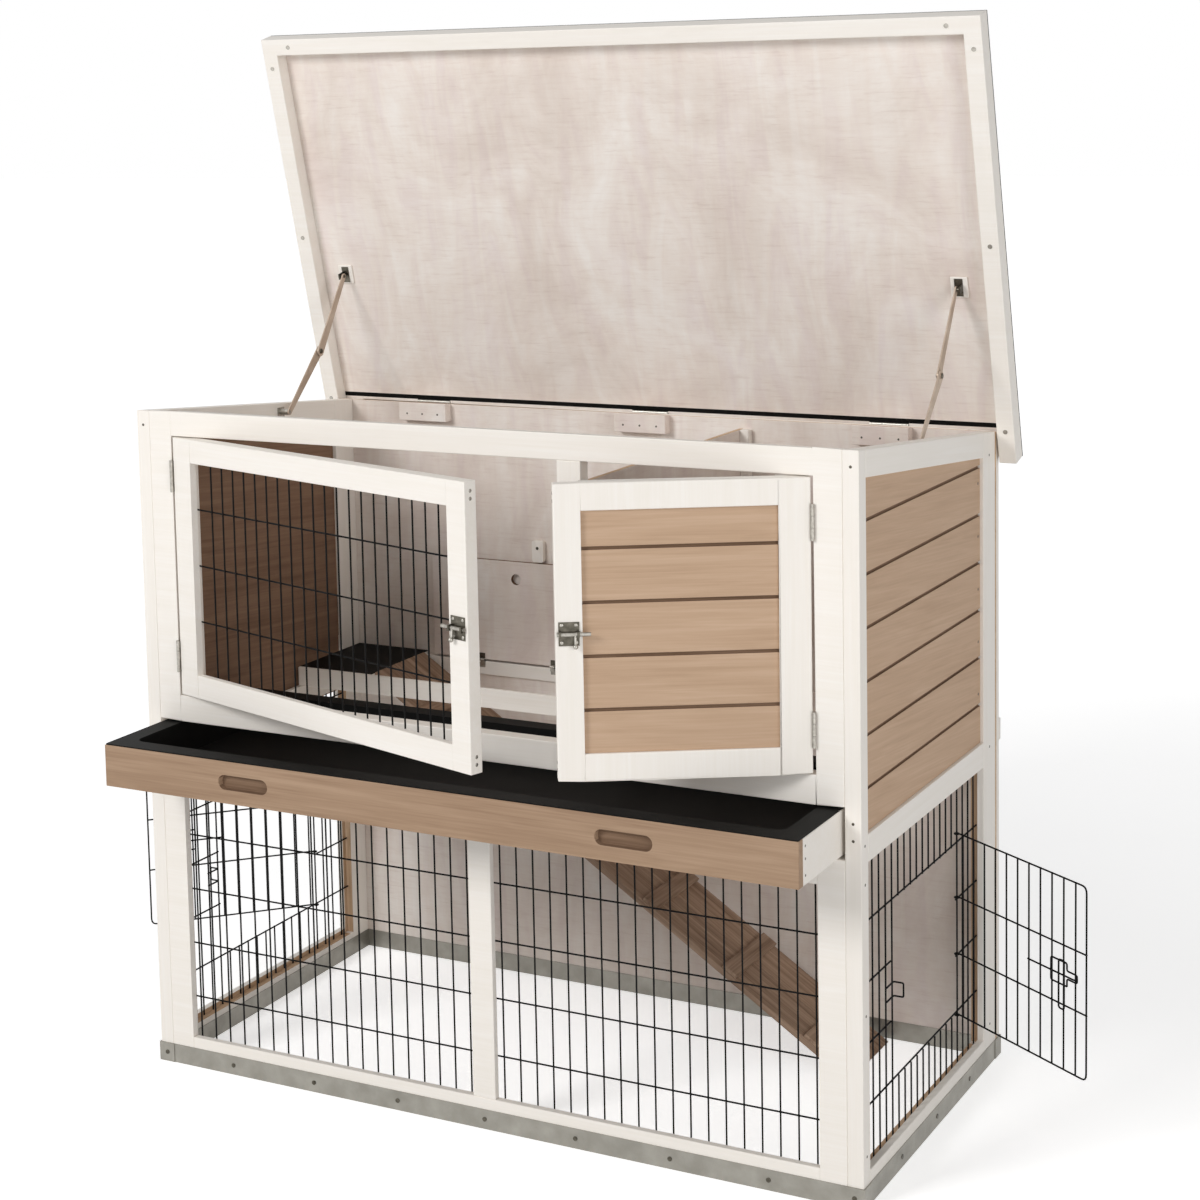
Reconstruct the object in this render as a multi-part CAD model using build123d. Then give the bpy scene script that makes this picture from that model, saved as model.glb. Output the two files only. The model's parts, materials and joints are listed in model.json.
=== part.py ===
from build123d import *
import os
from math import acos, atan2, cos, degrees, hypot, radians, sin, tan

# A two-storey hutch for small animals: a timber frame with plank and wire sides, two doors,
# a pull-out tray, a ramp, and a lean-to roof that is propped open on two folding stays.
# Millimetres, +Z up. X runs across the front, Y from the front face to the back.
# The origin is the middle of the front edge of the base, on the surface it stands on.

os.makedirs("parts", exist_ok=True)

# Body
BODY_W = 1100.0
BODY_D = 554.0
FRONT_H = 970.0
BACK_H = 918.0
TIMBER_T = 22.0
FRONT_POST_W = 24.0
REAR_STILE_W = 52.0
FRONT_STILE_W = 37.0
CENTRE_POST_W = 35.0
TOP_RAIL_H = 35.0
UPPER_SILL_H = 37.0
UPPER_SILL_Z = 520.0
UPPER_POST_X = 149.5
LOWER_TOP_Z = 452.0
LOWER_RAIL_H = 36.0
BASE_RAIL_TOP = 44.0
SIDE_MID_Z = 446.0
SIDE_MID_H = 36.0
BACK_PLY_T = 6.0
BACK_FRAME_T = 12.0
BACK_STILE_W = 40.0
BACK_RAIL_H = 44.0
BATTEN_Z = 468.0
BATTEN_H = 32.0
BATTEN_T = 8.0

# Sheet metal edging round the base
EDGE_H = 28.0
EDGE_T = 1.0
CORNER_LAP = 24.0
EDGE_SCREW_STEP = 140.0
SCREW_R = 3.2
SCREW_H = 0.8

# Planks
PLANK_STEP = 68.0
PLANK_T = 10.0
SIDE_PLANK_SET = 5.0
SIDE_PLANK_FIRST = 57.5
DOOR_PLANK_SET = 4.0
DOOR_PLANK_FIRST = 57.0
GROOVE_H = 4.0
GROOVE_DEPTH = 3.0

# Welded wire
WIRE = 2.2
WELD = 0.2
WIRE_STEP = 25.4
SIDE_WIRE_STEP = 23.8
CELL_H = 81.4
LIP_T = 10.4
REBATE_W = 7.0
FRONT_WIRE_FIRST = 8.7
FRONT_LEVEL_TOP = LOWER_TOP_Z - 106.0
SIDE_WIRE_FIRST = 18.7
SIDE_LEVEL_TOP = LOWER_TOP_Z - 93.4
DOOR_WIRE_FIRST = 33.0
DOOR_LEVEL_TOP = FRONT_H - 139.0
OPENING_FIRST_WIRE = 4
OPENING_LAST_WIRE = 15

# Doors
DOOR_T = 20.0
DOOR_GAP = 2.5
DOOR_STILE_HINGE = 40.0
DOOR_STILE_FREE = 34.0
DOOR_RAIL_H = 34.0
MESH_DOOR_OPEN = 17.6
PLANK_DOOR_OPEN = 31.0
HINGE_H = 46.0
HINGE_INSET = 33.0
KNUCKLE_R = 2.5
LEAF_T = 0.8
LEAF_D = 18.0
PIN_R = 1.0

# Bolts
BOLT_Z = 746.0
BOLT_PLATE_W = 26.0
BOLT_PLATE_H = 30.0
BOLT_PLATE_T = 1.0
BOLT_R = 2.6
BOLT_L = 42.0
BOLT_TAIL = 14.0
BOLT_GUIDE_W = 3.0
BOLT_KNOB_IN = 2.4
KEEPER_W = 8.0
KEEPER_INSET = 6.5

# Drawer and tray
DRAWER_GAP_SIDE = 5.5
DRAWER_GAP_BELOW = 4.0
DRAWER_H = 59.0
DRAWER_D = 350.0
DRAWER_OUT = 137.0
DRAWER_FRONT_T = 14.0
DRAWER_SIDE_T = 12.0
SLOT_W = 80.0
SLOT_H = 20.0
SLOT_DEPTH = 9.0
SLOT_X = 288.0
TRAY_FLANGE = 30.0
TRAY_T = 1.6
TRAY_DEPTH = 46.0
TRAY_TAPER = 6.0
TRAY_CORNER_R = 16.0
RUNNER_W = 16.0
RUNNER_H = 16.0

# Rear floor, platform, hatch and ramp
FLOOR_TOP = 515.0
FLOOR_T = 5.5
MAT_T = 1.5
CROSS_RAIL_H = 30.0
CROSS_RAIL_T = 18.0
CROSS_RAIL_LIP = 6.0
CROSS_RAIL_GAP = 5.0
WALL_RAIL_H = 22.0
PLATFORM_W = 131.0
HATCH_W = 306.0
HATCH_L = 162.0
HATCH_T = 7.0
HATCH_GAP = 18.0
HATCH_WALL_GAP = 1.3
HATCH_HINGE_R = 2.2
HATCH_HINGE_W = 22.0
HATCH_LEAF_H = 10.0
HATCH_HOLE_R = 8.5
HATCH_HOLE_DOWN = 28.5
HATCH_FALL = 90.0
BUTTON_W = 20.0
BUTTON_H = 34.0
BUTTON_T = 8.5
BUTTON_SIDE = 40.0
BUTTON_PIVOT_UP = 22.5
RAMP_T = 10.0
RAMP_ANGLE = 33.15
RAMP_W = 150.0
CLEAT_W = 26.0
CLEAT_T = 6.0
CLEAT_STEP = 152.0
CLEAT_FIRST = 92.0

# Partition
PARTITION_T = 7.0
PARTITION_TOP = 905.0
PARTITION_BATTEN = 14.0
DOORWAY_W = 170.0
DOORWAY_H = 210.0
DOORWAY_Y = 90.0

# Roof
ROOF_SIDE_OVER = 29.0
ROOF_FRONT_OVER = 46.0
ROOF_BACK_OVER = 41.0
ROOF_RAIL_W = 25.5
ROOF_RAIL_H = 29.0
ROOF_PLY_T = 6.0
ROOF_FELT_T = 1.5
ROOF_GAP = 0.5
ROOF_OPEN_ANGLE = 75.6
ROOF_HINGE_X = 385.0
ROOF_HINGE_W = 60.0
ROOF_HINGE_R = 3.0
ROOF_HINGE_BACK = 3.5
ROOF_LEAF_D = 30.0
ROOF_LEAF_T = 1.4
ROOF_STRIP_V = -10.5
AXIS_UP = 1.0
BLOCK_W = 86.0
BLOCK_H = 27.0
BLOCK_T = 18.0

# Folding stays
STAY_INSET = 40.0
STAY_T = 2.0
STAY_W = 16.0
STAY_END_W = 9.0
STAY_LOWER_L = 122.5
STAY_PIVOT_Y = 330.0
STAY_PIVOT_DOWN = 13.0
STAY_ROOF_T = 215.0
STAY_ROOF_DOWN = 12.0
STUD_R = 2.5
RIVET_R = 4.0
RIVET_H = 1.4

# Gates
GATE_W = 266.0
GATE_WIRES = 12
GATE_FIRST_WIRE = 8.0
RIGHT_GATE_OPEN = 56.5
LEFT_GATE_OPEN = 44.0
EYE_R = 2.1
EYE_T = 2.0
GATE_OFFSET = 2.6
GATE_RISE = (14.0, 4.0, 3.8, -3.4)
LATCH_Z = 240.0
LATCH_W = 52.0
LATCH_H = 28.0
LATCH_END = 23.0
NOSE_L = 20.0
NOSE_H = 13.0
HANDLE_W = 10.0
HANDLE_L = 52.0
CATCH_OUT = 16.0
CATCH_H = 19.0

# Clearances
RUN = 0.3
PIN_FIT = 0.35

HALF_W = BODY_W / 2
INNER_X = HALF_W - TIMBER_T
STILE_X = INNER_X - FRONT_STILE_W
WALL_Y = BODY_D - BACK_PLY_T - BACK_FRAME_T
REAR_Y = WALL_Y - REAR_STILE_W
FALL = (FRONT_H - BACK_H) / BODY_D
SLOPE = degrees(atan2(FRONT_H - BACK_H, BODY_D))
DOOR_TOP_Z = FRONT_H - TOP_RAIL_H
DOOR_SILL_Z = UPPER_SILL_Z + UPPER_SILL_H
LOWER_MESH_TOP = LOWER_TOP_Z - LOWER_RAIL_H
SIDE_PLANK_Z = SIDE_MID_Z + SIDE_MID_H


def top_z(y):
    return FRONT_H - FALL * y


def block(x0, x1, y0, y1, z0, z1):
    return Pos((x0 + x1) / 2, (y0 + y1) / 2, (z0 + z1) / 2) * Box(x1 - x0, y1 - y0, z1 - z0)


def prism_x(points, x0, x1):
    """A profile in the YZ plane, run from x0 to x1."""
    face = make_face(Polyline(*points, close=True))
    return Pos(x0, 0, 0) * extrude(Plane.YZ * face, amount=x1 - x0)


def prism_y(points, y0, y1):
    """A profile in the XZ plane, run from y0 to y1."""
    face = make_face(Polyline(*points, close=True))
    return Pos(0, y1, 0) * extrude(Plane.XZ * face, amount=y1 - y0)


def rod(start, end, radius):
    """A round bar from one point to another."""
    run = Vector(*end) - Vector(*start)
    plane = Plane(origin=start, z_dir=run.normalized())
    return plane * Pos(0, 0, run.length / 2) * Cylinder(radius, run.length)


def mirrored(part):
    return mirror(part, about=Plane.YZ)


def both(part):
    return [part, mirrored(part)]


def fused(parts):
    return parts[0].fuse(*parts[1:]) if len(parts) > 1 else parts[0]


def save(name, parts):
    solids = [s for p in parts for s in p.solids()]
    shape = solids[0] if len(solids) == 1 else Compound(children=solids)
    export_step(shape, f"parts/{name}.step")


# Base edging: a channel of sheet metal under each side, lapped by four corner pieces
def edging_channel(length, depth, inner_length):
    """One length of channel along X: a leg in front, a foot under the timber, and a leg behind it."""
    leg = block(-length / 2, length / 2, -EDGE_T, 0, 0, EDGE_H)
    foot = block(-length / 2, length / 2, -EDGE_T / 2, depth, 0, EDGE_T)
    inner = block(-inner_length / 2, inner_length / 2, depth - EDGE_T / 2, depth + EDGE_T, 0, EDGE_T)
    inner += block(-inner_length / 2, inner_length / 2, depth, depth + EDGE_T, 0, EDGE_H)
    return leg + foot + inner


def base_edging():
    inside = 2 * (INNER_X - EDGE_T)
    front = edging_channel(BODY_W, TIMBER_T, inside)
    back = Pos(0, BODY_D, 0) * Rot(0, 0, 180) * edging_channel(BODY_W, BACK_PLY_T + BACK_FRAME_T, inside)
    side_run = BODY_D - TIMBER_T - BACK_PLY_T - BACK_FRAME_T
    side_mid = TIMBER_T + side_run / 2
    right = Pos(HALF_W, side_mid, 0) * Rot(0, 0, 90) * edging_channel(side_run, TIMBER_T, side_run)
    laps = []
    for y, turn in ((0, 0), (BODY_D, 270)):
        outer = EDGE_T * 2
        lap = block(-outer, CORNER_LAP, -outer, -EDGE_T, 0, EDGE_H)
        lap += block(-outer, -EDGE_T, -outer, CORNER_LAP, 0, EDGE_H)
        laps += both(Pos(-HALF_W, y, 0) * Rot(0, 0, turn) * lap)
    corner_fill = []
    for y0, y1 in ((0, TIMBER_T), (BODY_D - BACK_PLY_T - BACK_FRAME_T, BODY_D)):
        corner_fill += both(block(-HALF_W - EDGE_T, -HALF_W, y0, y1, 0, EDGE_H))
    return [front, back] + both(right) + laps + corner_fill


def screw_head(x, y, z, axis, radius=SCREW_R, height=SCREW_H):
    """A flat screw head whose outer face points along axis."""
    end = (x + axis[0] * height, y + axis[1] * height, z + axis[2] * height)
    return rod((x, y, z), end, radius)


def edging_screws():
    heads = []
    count = int((BODY_W / 2 - CORNER_LAP) // EDGE_SCREW_STEP)
    for k in range(-count, count + 1):
        x = k * EDGE_SCREW_STEP
        heads.append(screw_head(x, -EDGE_T, EDGE_H / 2, (0, -1, 0)))
        heads.append(screw_head(x, BODY_D + EDGE_T, EDGE_H / 2, (0, 1, 0)))
    steps = 3
    for k in range(steps):
        y = BODY_D * (k + 1) / (steps + 1)
        heads += both(screw_head(HALF_W + EDGE_T, y, EDGE_H / 2, (1, 0, 0)))
    for y in (-EDGE_T * 2,):
        heads += both(screw_head(HALF_W - CORNER_LAP / 2, y, EDGE_H / 2, (0, -1, 0)))
    return heads


# Side panels
def side_slab():
    """The rebate that takes the side mesh, cut from the inside."""
    return block(INNER_X - 1, HALF_W - LIP_T, FRONT_POST_W - REBATE_W, REAR_Y + REBATE_W,
                 BASE_RAIL_TOP - REBATE_W, SIDE_MID_Z + REBATE_W)


def side_posts():
    front = prism_x([(0, EDGE_T), (FRONT_POST_W, EDGE_T), (FRONT_POST_W, top_z(FRONT_POST_W)),
                     (0, top_z(0))], INNER_X, HALF_W) - side_slab()
    rear = prism_x([(REAR_Y, EDGE_T), (WALL_Y, EDGE_T), (WALL_Y, top_z(WALL_Y)),
                    (REAR_Y, top_z(REAR_Y))], INNER_X, HALF_W) - side_slab()
    return both(front) + both(rear)


def side_rails():
    y0, y1 = FRONT_POST_W, REAR_Y
    top = prism_x([(y0, top_z(y0) - TOP_RAIL_H), (y1, top_z(y1) - TOP_RAIL_H),
                   (y1, top_z(y1)), (y0, top_z(y0))], INNER_X, HALF_W)
    mid = block(INNER_X, HALF_W, y0, y1, SIDE_MID_Z, SIDE_PLANK_Z) - side_slab()
    base = block(INNER_X, HALF_W, y0, y1, EDGE_T, BASE_RAIL_TOP) - side_slab()
    return both(top) + both(mid) + both(base)


def side_planks():
    """Horizontal boards with a shadow groove along each upper edge; the top one tapers with the roof."""
    y0, y1 = FRONT_POST_W, REAR_Y
    out = HALF_W - SIDE_PLANK_SET
    rail_low = [(y, top_z(y) - TOP_RAIL_H) for y in (y0, y1)]
    boards = []
    z = SIDE_PLANK_Z
    upper = SIDE_PLANK_Z + SIDE_PLANK_FIRST
    while z < rail_low[0][1] - GROOVE_H:
        if upper < rail_low[1][1]:
            board = block(out - PLANK_T, out, y0, y1, z, upper)
            board -= block(out - GROOVE_DEPTH, out + 1, y0 - 1, y1 + 1, upper - GROOVE_H, upper + 1)
        else:
            ends = [(y0, z)]
            if z < rail_low[1][1]:
                ends += [(y1, z), rail_low[1]]
            else:
                ends += [(y0 + (rail_low[0][1] - z) / FALL, z)]
            board = prism_x(ends + [rail_low[0]], out - PLANK_T, out)
            if upper < rail_low[0][1]:
                board &= block(out - PLANK_T, out, y0, y1, z, upper)
        boards.append(board)
        z = upper
        upper = z + PLANK_STEP
    return boards


# Front frames
def front_slab(x0, x1):
    return block(x0 - REBATE_W, x1 + REBATE_W, LIP_T, TIMBER_T + 1,
                 BASE_RAIL_TOP - REBATE_W, LOWER_MESH_TOP + REBATE_W)


def upper_front_frame():
    back = TIMBER_T
    stile = prism_x([(0, UPPER_SILL_Z), (back, UPPER_SILL_Z), (back, top_z(back)), (0, top_z(0))],
                    STILE_X, INNER_X)
    top = prism_x([(0, DOOR_TOP_Z), (back, DOOR_TOP_Z), (back, top_z(back)), (0, top_z(0))],
                  -STILE_X, STILE_X)
    sill = block(-STILE_X, STILE_X, 0, back, UPPER_SILL_Z, DOOR_SILL_Z)
    post = block(UPPER_POST_X - CENTRE_POST_W / 2, UPPER_POST_X + CENTRE_POST_W / 2, 0, back,
                 DOOR_SILL_Z, DOOR_TOP_Z)
    return both(stile) + [top, sill, post]


def lower_front_frame():
    half_post = CENTRE_POST_W / 2
    slab = front_slab(half_post, STILE_X)
    stile = block(STILE_X, INNER_X, 0, TIMBER_T, EDGE_T, LOWER_TOP_Z) - slab
    pieces = both(stile)
    for z0, z1 in ((EDGE_T, BASE_RAIL_TOP), (LOWER_MESH_TOP, LOWER_TOP_Z)):
        rail = block(-STILE_X, STILE_X, 0, TIMBER_T, z0, z1)
        pieces.append(rail - slab - mirrored(slab))
    post = block(-half_post, half_post, 0, TIMBER_T, BASE_RAIL_TOP, LOWER_MESH_TOP)
    pieces.append(post - slab - mirrored(slab))
    return pieces


# Wire panels. Each is drawn flat with its uprights in front, then set in its rebate.
def wire_grid(uprights, levels, x0, x1, z0, z1, skip=None):
    """Welded wire in the XZ plane: uprights at y 0 to WIRE, level wires behind them.
    skip(x, z) is true where the panel has no wire."""
    cells = []
    for x in uprights:
        spans = [(z0, z1)]
        if skip is not None:
            spans = skip("upright", x, z0, z1)
        for low, high in spans:
            cells.append(block(x - WIRE / 2, x + WIRE / 2, 0, WIRE, low, high))
    for z in levels:
        spans = [(x0, x1)]
        if skip is not None:
            spans = skip("level", z, x0, x1)
        for low, high in spans:
            cells.append(block(low, high, WIRE - WELD, 2 * WIRE - WELD, z - WIRE / 2, z + WIRE / 2))
    return fused(cells)


def front_mesh():
    """The right-hand panel of the lower front."""
    inside = REBATE_W - RUN
    x0 = CENTRE_POST_W / 2 - inside
    x1 = STILE_X + inside
    z0 = BASE_RAIL_TOP - inside
    z1 = LOWER_MESH_TOP + inside
    first = CENTRE_POST_W / 2 + FRONT_WIRE_FIRST
    count = int((STILE_X - first) // WIRE_STEP) + 1
    uprights = [first + WIRE_STEP * k for k in range(count)]
    levels = [FRONT_LEVEL_TOP - CELL_H * k for k in range(-1, 5)]
    levels = [z for z in levels if z0 + WIRE < z < z1 - WIRE]
    return Pos(0, LIP_T + RUN, 0) * wire_grid(uprights, levels, x0, x1, z0, z1)


def side_uprights():
    first = FRONT_POST_W + SIDE_WIRE_FIRST
    count = int((REAR_Y - first) // SIDE_WIRE_STEP) + 1
    return [first + SIDE_WIRE_STEP * k for k in range(count)]


def side_levels():
    return [SIDE_LEVEL_TOP - CELL_H * k for k in range(4)]


HINGE_WIRE_Y = side_uprights()[round(OPENING_LAST_WIRE)]
LOCK_WIRE_Y = side_uprights()[OPENING_FIRST_WIRE]
SIDE_WIRE_X = HALF_W - LIP_T - RUN - WIRE / 2


def side_mesh():
    """The right-hand side: a panel with a gate opening three cells high, and a wire catch beside it."""
    inside = REBATE_W - RUN
    z0 = BASE_RAIL_TOP - inside
    z1 = SIDE_MID_Z + inside
    y0 = FRONT_POST_W - inside
    y1 = REAR_Y + inside
    high, low = side_levels()[0], side_levels()[3]

    def skip(kind, at, first, last):
        if kind == "upright" and LOCK_WIRE_Y + 1 < at < HINGE_WIRE_Y - 1:
            return [(first, low), (high, last)]
        if kind == "level" and low + 1 < at < high - 1:
            return [(first, LOCK_WIRE_Y), (HINGE_WIRE_Y, last)]
        return [(first, last)]

    levels = [SIDE_LEVEL_TOP - CELL_H * k for k in range(-1, 5)]
    levels = [z for z in levels if z0 + WIRE < z < z1 - WIRE]
    grid = wire_grid(side_uprights(), levels, y0, y1, z0, z1, skip)
    turned = Pos(HALF_W - LIP_T - RUN, 0, 0) * Rot(0, 0, 90) * grid
    return turned + side_catch()


def side_catch():
    """A bent wire that stands out past the closed gate, for the latch to slide into."""
    x0 = SIDE_WIRE_X
    y0 = LOCK_WIRE_Y - SIDE_WIRE_STEP
    y1 = LOCK_WIRE_Y + WIRE * 1.5
    bars = []
    for z in (LATCH_Z - CATCH_H / 2, LATCH_Z + CATCH_H / 2):
        bars.append(block(x0, x0 + WIRE, y0, y1, z - WIRE / 2, z + WIRE / 2))
        bars.append(block(x0, x0 + CATCH_OUT, y1 - WIRE, y1, z - WIRE / 2, z + WIRE / 2))
    bars.append(block(x0 + CATCH_OUT - WIRE, x0 + CATCH_OUT, y1 - WIRE, y1,
                      LATCH_Z - CATCH_H / 2, LATCH_Z + CATCH_H / 2))
    return fused(bars)


# Back wall
def back_panels():
    split = BATTEN_Z + BATTEN_H / 2
    y0, y1 = WALL_Y, WALL_Y + BACK_PLY_T
    lower = block(-HALF_W, HALF_W, y0, y1, EDGE_T, split)
    upper = prism_x([(y0, split), (y1, split), (y1, top_z(y1)), (y0, top_z(y0))], -HALF_W, HALF_W)
    return [lower, upper]


def back_frame():
    y0, y1 = WALL_Y + BACK_PLY_T, BODY_D
    stile_in = HALF_W - BACK_STILE_W
    stile = prism_x([(y0, EDGE_T), (y1, EDGE_T), (y1, top_z(y1)), (y0, top_z(y0))], stile_in, HALF_W)
    top = prism_x([(y0, top_z(y1) - BACK_RAIL_H), (y1, top_z(y1) - BACK_RAIL_H), (y1, top_z(y1)),
                   (y0, top_z(y0))], -stile_in, stile_in)
    mid_z = BATTEN_Z + BATTEN_H / 2
    mid = block(-stile_in, stile_in, y0, y1, mid_z - BACK_RAIL_H / 2, mid_z + BACK_RAIL_H / 2)
    base = block(-stile_in, stile_in, y0, y1, EDGE_T, EDGE_T + BACK_RAIL_H)
    cover = block(-HALF_W, HALF_W, y1, y1 + BATTEN_T, BATTEN_Z, BATTEN_Z + BATTEN_H)
    return both(stile) + [top, mid, base, cover]


def hinge_blocks():
    y0, y1 = WALL_Y - BLOCK_T, WALL_Y
    blocks = []
    for x in roof_hinge_places():
        profile = [(y0, top_z(y1) - BLOCK_H), (y1, top_z(y1) - BLOCK_H), (y1, top_z(y1)), (y0, top_z(y0))]
        blocks.append(prism_x(profile, x - BLOCK_W / 2, x + BLOCK_W / 2))
    return blocks


# Roof. It is drawn lying flat: x across, v towards the back, w up, with the hinge axis as origin.
ROOF_AXIS_Y = BODY_D + ROOF_HINGE_BACK
ROOF_AXIS_Z = FRONT_H + ROOF_GAP - FALL * ROOF_AXIS_Y + AXIS_UP / cos(radians(SLOPE))
ROOF_HALF_W = HALF_W + ROOF_SIDE_OVER
ROOF_FRONT_V = -(ROOF_AXIS_Y / cos(radians(SLOPE)) + ROOF_FRONT_OVER)
ROOF_BACK_V = ROOF_BACK_OVER
ROOF_UNDER_W = -AXIS_UP
ROOF_TOP_W = ROOF_UNDER_W + ROOF_PLY_T


def roof_hinge_places():
    return (-ROOF_HINGE_X, 0.0, ROOF_HINGE_X)


def roof_plane(angle):
    """The roof's own plane when its front edge is raised to this angle above level."""
    a = radians(angle)
    return Plane(origin=(0, ROOF_AXIS_Y, ROOF_AXIS_Z), x_dir=(1, 0, 0), z_dir=(0, sin(a), cos(a)))


def on_roof(part, angle=ROOF_OPEN_ANGLE):
    return roof_plane(angle) * part


def knuckle(x0, x1):
    return rod((x0, 0, 0), (x1, 0, 0), ROOF_HINGE_R)


def roof_fixed_leaves():
    """Leaves screwed to the outside of the back wall, with the outer knuckles and the pin."""
    sixth = ROOF_HINGE_W / 6
    half = ROOF_HINGE_W / 2
    leaves = []
    out = ROOF_HINGE_BACK - ROOF_LEAF_T
    axis = Pos(0, ROOF_AXIS_Y, ROOF_AXIS_Z)
    for x in roof_hinge_places():
        plate = block(x - half, x + half, -ROOF_HINGE_BACK, -out, -ROOF_LEAF_D, -ROOF_HINGE_R - RUN)
        for side in (-1, 1):
            a, b = sorted((x + side * (sixth + RUN), x + side * half))
            plate += knuckle(a, b)
            plate += block(a, b, -ROOF_HINGE_R, -out, -ROOF_HINGE_R - RUN - 1, 0)
        plate += rod((x - half, 0, 0), (x + half, 0, 0), ROOF_HINGE_R / 2)
        leaves.append(axis * plate)
    return leaves


def roof_moving_leaves():
    """Leaves under the roof's rear overhang, each with a middle knuckle."""
    sixth = ROOF_HINGE_W / 6
    half = ROOF_HINGE_W / 2
    leaves = []
    w0 = ROOF_UNDER_W - ROOF_LEAF_T
    for x in roof_hinge_places():
        plate = block(x - half, x + half, ROOF_HINGE_R + 2 * RUN, ROOF_LEAF_D, w0, ROOF_UNDER_W)
        plate += knuckle(x - sixth, x + sixth)
        plate += block(x - sixth, x + sixth, 0, ROOF_HINGE_R + 1, w0, ROOF_UNDER_W)
        plate -= rod((x - sixth - 1, 0, 0), (x + sixth + 1, 0, 0), ROOF_HINGE_R / 2 + PIN_FIT)
        leaves.append(on_roof(plate))
    return leaves


def roof_panel():
    """The main sheet, and the narrow one behind the black strip, slotted for the hinges."""
    half = ROOF_HALF_W - ROOF_RAIL_W
    slot = ROOF_HINGE_R + 2 * RUN
    sheet = block(-half, half, ROOF_FRONT_V + ROOF_RAIL_W, ROOF_STRIP_V, ROOF_UNDER_W, ROOF_TOP_W)
    rear = block(-half, half, -slot, ROOF_BACK_V, ROOF_UNDER_W, ROOF_TOP_W)
    for x in roof_hinge_places():
        a, b = x - ROOF_HINGE_W / 2 - RUN, x + ROOF_HINGE_W / 2 + RUN
        rear -= block(a, b, -slot - 1, slot, ROOF_UNDER_W - 1, slot)
    return [on_roof(sheet), on_roof(rear)]


def roof_strip():
    """The black sealing strip along the hinge line."""
    half = ROOF_HALF_W - ROOF_RAIL_W
    slot = ROOF_HINGE_R + 2 * RUN
    return on_roof(block(-half, half, ROOF_STRIP_V, -slot, ROOF_UNDER_W, ROOF_TOP_W))


def roof_rails():
    """Two side rails and a front rail, mitred at the front corners."""
    w1 = ROOF_TOP_W
    w0 = w1 - ROOF_RAIL_H
    x1, x0 = ROOF_HALF_W, ROOF_HALF_W - ROOF_RAIL_W
    v0, v1 = ROOF_FRONT_V, ROOF_BACK_V
    side = make_face(Polyline((x0, v0 + ROOF_RAIL_W), (x1, v0), (x1, v1), (x0, v1), close=True))
    front = make_face(Polyline((-x1, v0), (x1, v0), (x0, v0 + ROOF_RAIL_W), (-x0, v0 + ROOF_RAIL_W),
                               close=True))
    side_rail = Pos(0, 0, w0) * extrude(side, amount=ROOF_RAIL_H)
    front_rail = Pos(0, 0, w0) * extrude(front, amount=ROOF_RAIL_H)
    return [on_roof(r) for r in both(side_rail) + [front_rail]]


def roof_felt():
    sheet = block(-ROOF_HALF_W, ROOF_HALF_W, ROOF_FRONT_V, ROOF_BACK_V, ROOF_TOP_W, ROOF_TOP_W + ROOF_FELT_T)
    return [on_roof(sheet)]


def roof_screws():
    heads = []
    w0 = ROOF_TOP_W - ROOF_RAIL_H
    mid = ROOF_HALF_W - ROOF_RAIL_W / 2
    run = ROOF_BACK_V - ROOF_FRONT_V
    for v in (ROOF_FRONT_V + 1.8 * ROOF_RAIL_W, ROOF_FRONT_V + run / 2, ROOF_BACK_V - 1.9 * ROOF_RAIL_W):
        heads += both(screw_head(mid, v, w0, (0, 0, -1)))
    heads += both(screw_head(mid - 1.4 * ROOF_RAIL_W, ROOF_FRONT_V + ROOF_RAIL_W / 2, w0, (0, 0, -1)))
    return [on_roof(h) for h in heads]


# Folding stays. Angles are measured in the YZ plane from +Y towards +Z.
STAY_X = HALF_W - STAY_INSET
STAY_PIVOT = (STAY_PIVOT_Y, top_z(STAY_PIVOT_Y) - STAY_PIVOT_DOWN)


def roof_pivot(angle):
    """Where the upper end of a stay is, for a roof raised to this angle."""
    a = radians(angle)
    w = ROOF_UNDER_W - STAY_ROOF_DOWN
    return (ROOF_AXIS_Y - STAY_ROOF_T * cos(a) + w * sin(a), ROOF_AXIS_Z + STAY_ROOF_T * sin(a) + w * cos(a))


def folded_knee():
    """With the roof shut the lower arm lies along the slope, its knee towards the front."""
    a = radians(180 - SLOPE)
    return (STAY_PIVOT[0] + STAY_LOWER_L * cos(a), STAY_PIVOT[1] + STAY_LOWER_L * sin(a))


def stay_upper_length():
    knee, top = folded_knee(), roof_pivot(SLOPE)
    return hypot(knee[0] - top[0], knee[1] - top[1])


def open_knee():
    top = roof_pivot(ROOF_OPEN_ANGLE)
    span = hypot(top[0] - STAY_PIVOT[0], top[1] - STAY_PIVOT[1])
    upper = stay_upper_length()
    share = (STAY_LOWER_L ** 2 + span ** 2 - upper ** 2) / (2 * STAY_LOWER_L * span)
    bend = acos(min(1.0, share))
    a = atan2(top[1] - STAY_PIVOT[1], top[0] - STAY_PIVOT[0]) - bend
    return (STAY_PIVOT[0] + STAY_LOWER_L * cos(a), STAY_PIVOT[1] + STAY_LOWER_L * sin(a))


def arm(start, end, x0, x1):
    """A flat bar between two points of the YZ plane, narrow at the start and wide at the end."""
    run = hypot(end[0] - start[0], end[1] - start[1])
    near, far = STAY_END_W / 2, STAY_W / 2
    bar = prism_x([(0, -near), (run, -far), (run, far), (0, near)], -STAY_T / 2, STAY_T / 2)
    for y, radius in ((0, near), (run, far)):
        bar += Pos(0, y, 0) * Rot(0, 90, 0) * Cylinder(radius, STAY_T)
    turn = degrees(atan2(end[1] - start[1], end[0] - start[0]))
    return Pos((x0 + x1) / 2, start[0], start[1]) * Rot(turn, 0, 0) * bar


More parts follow.
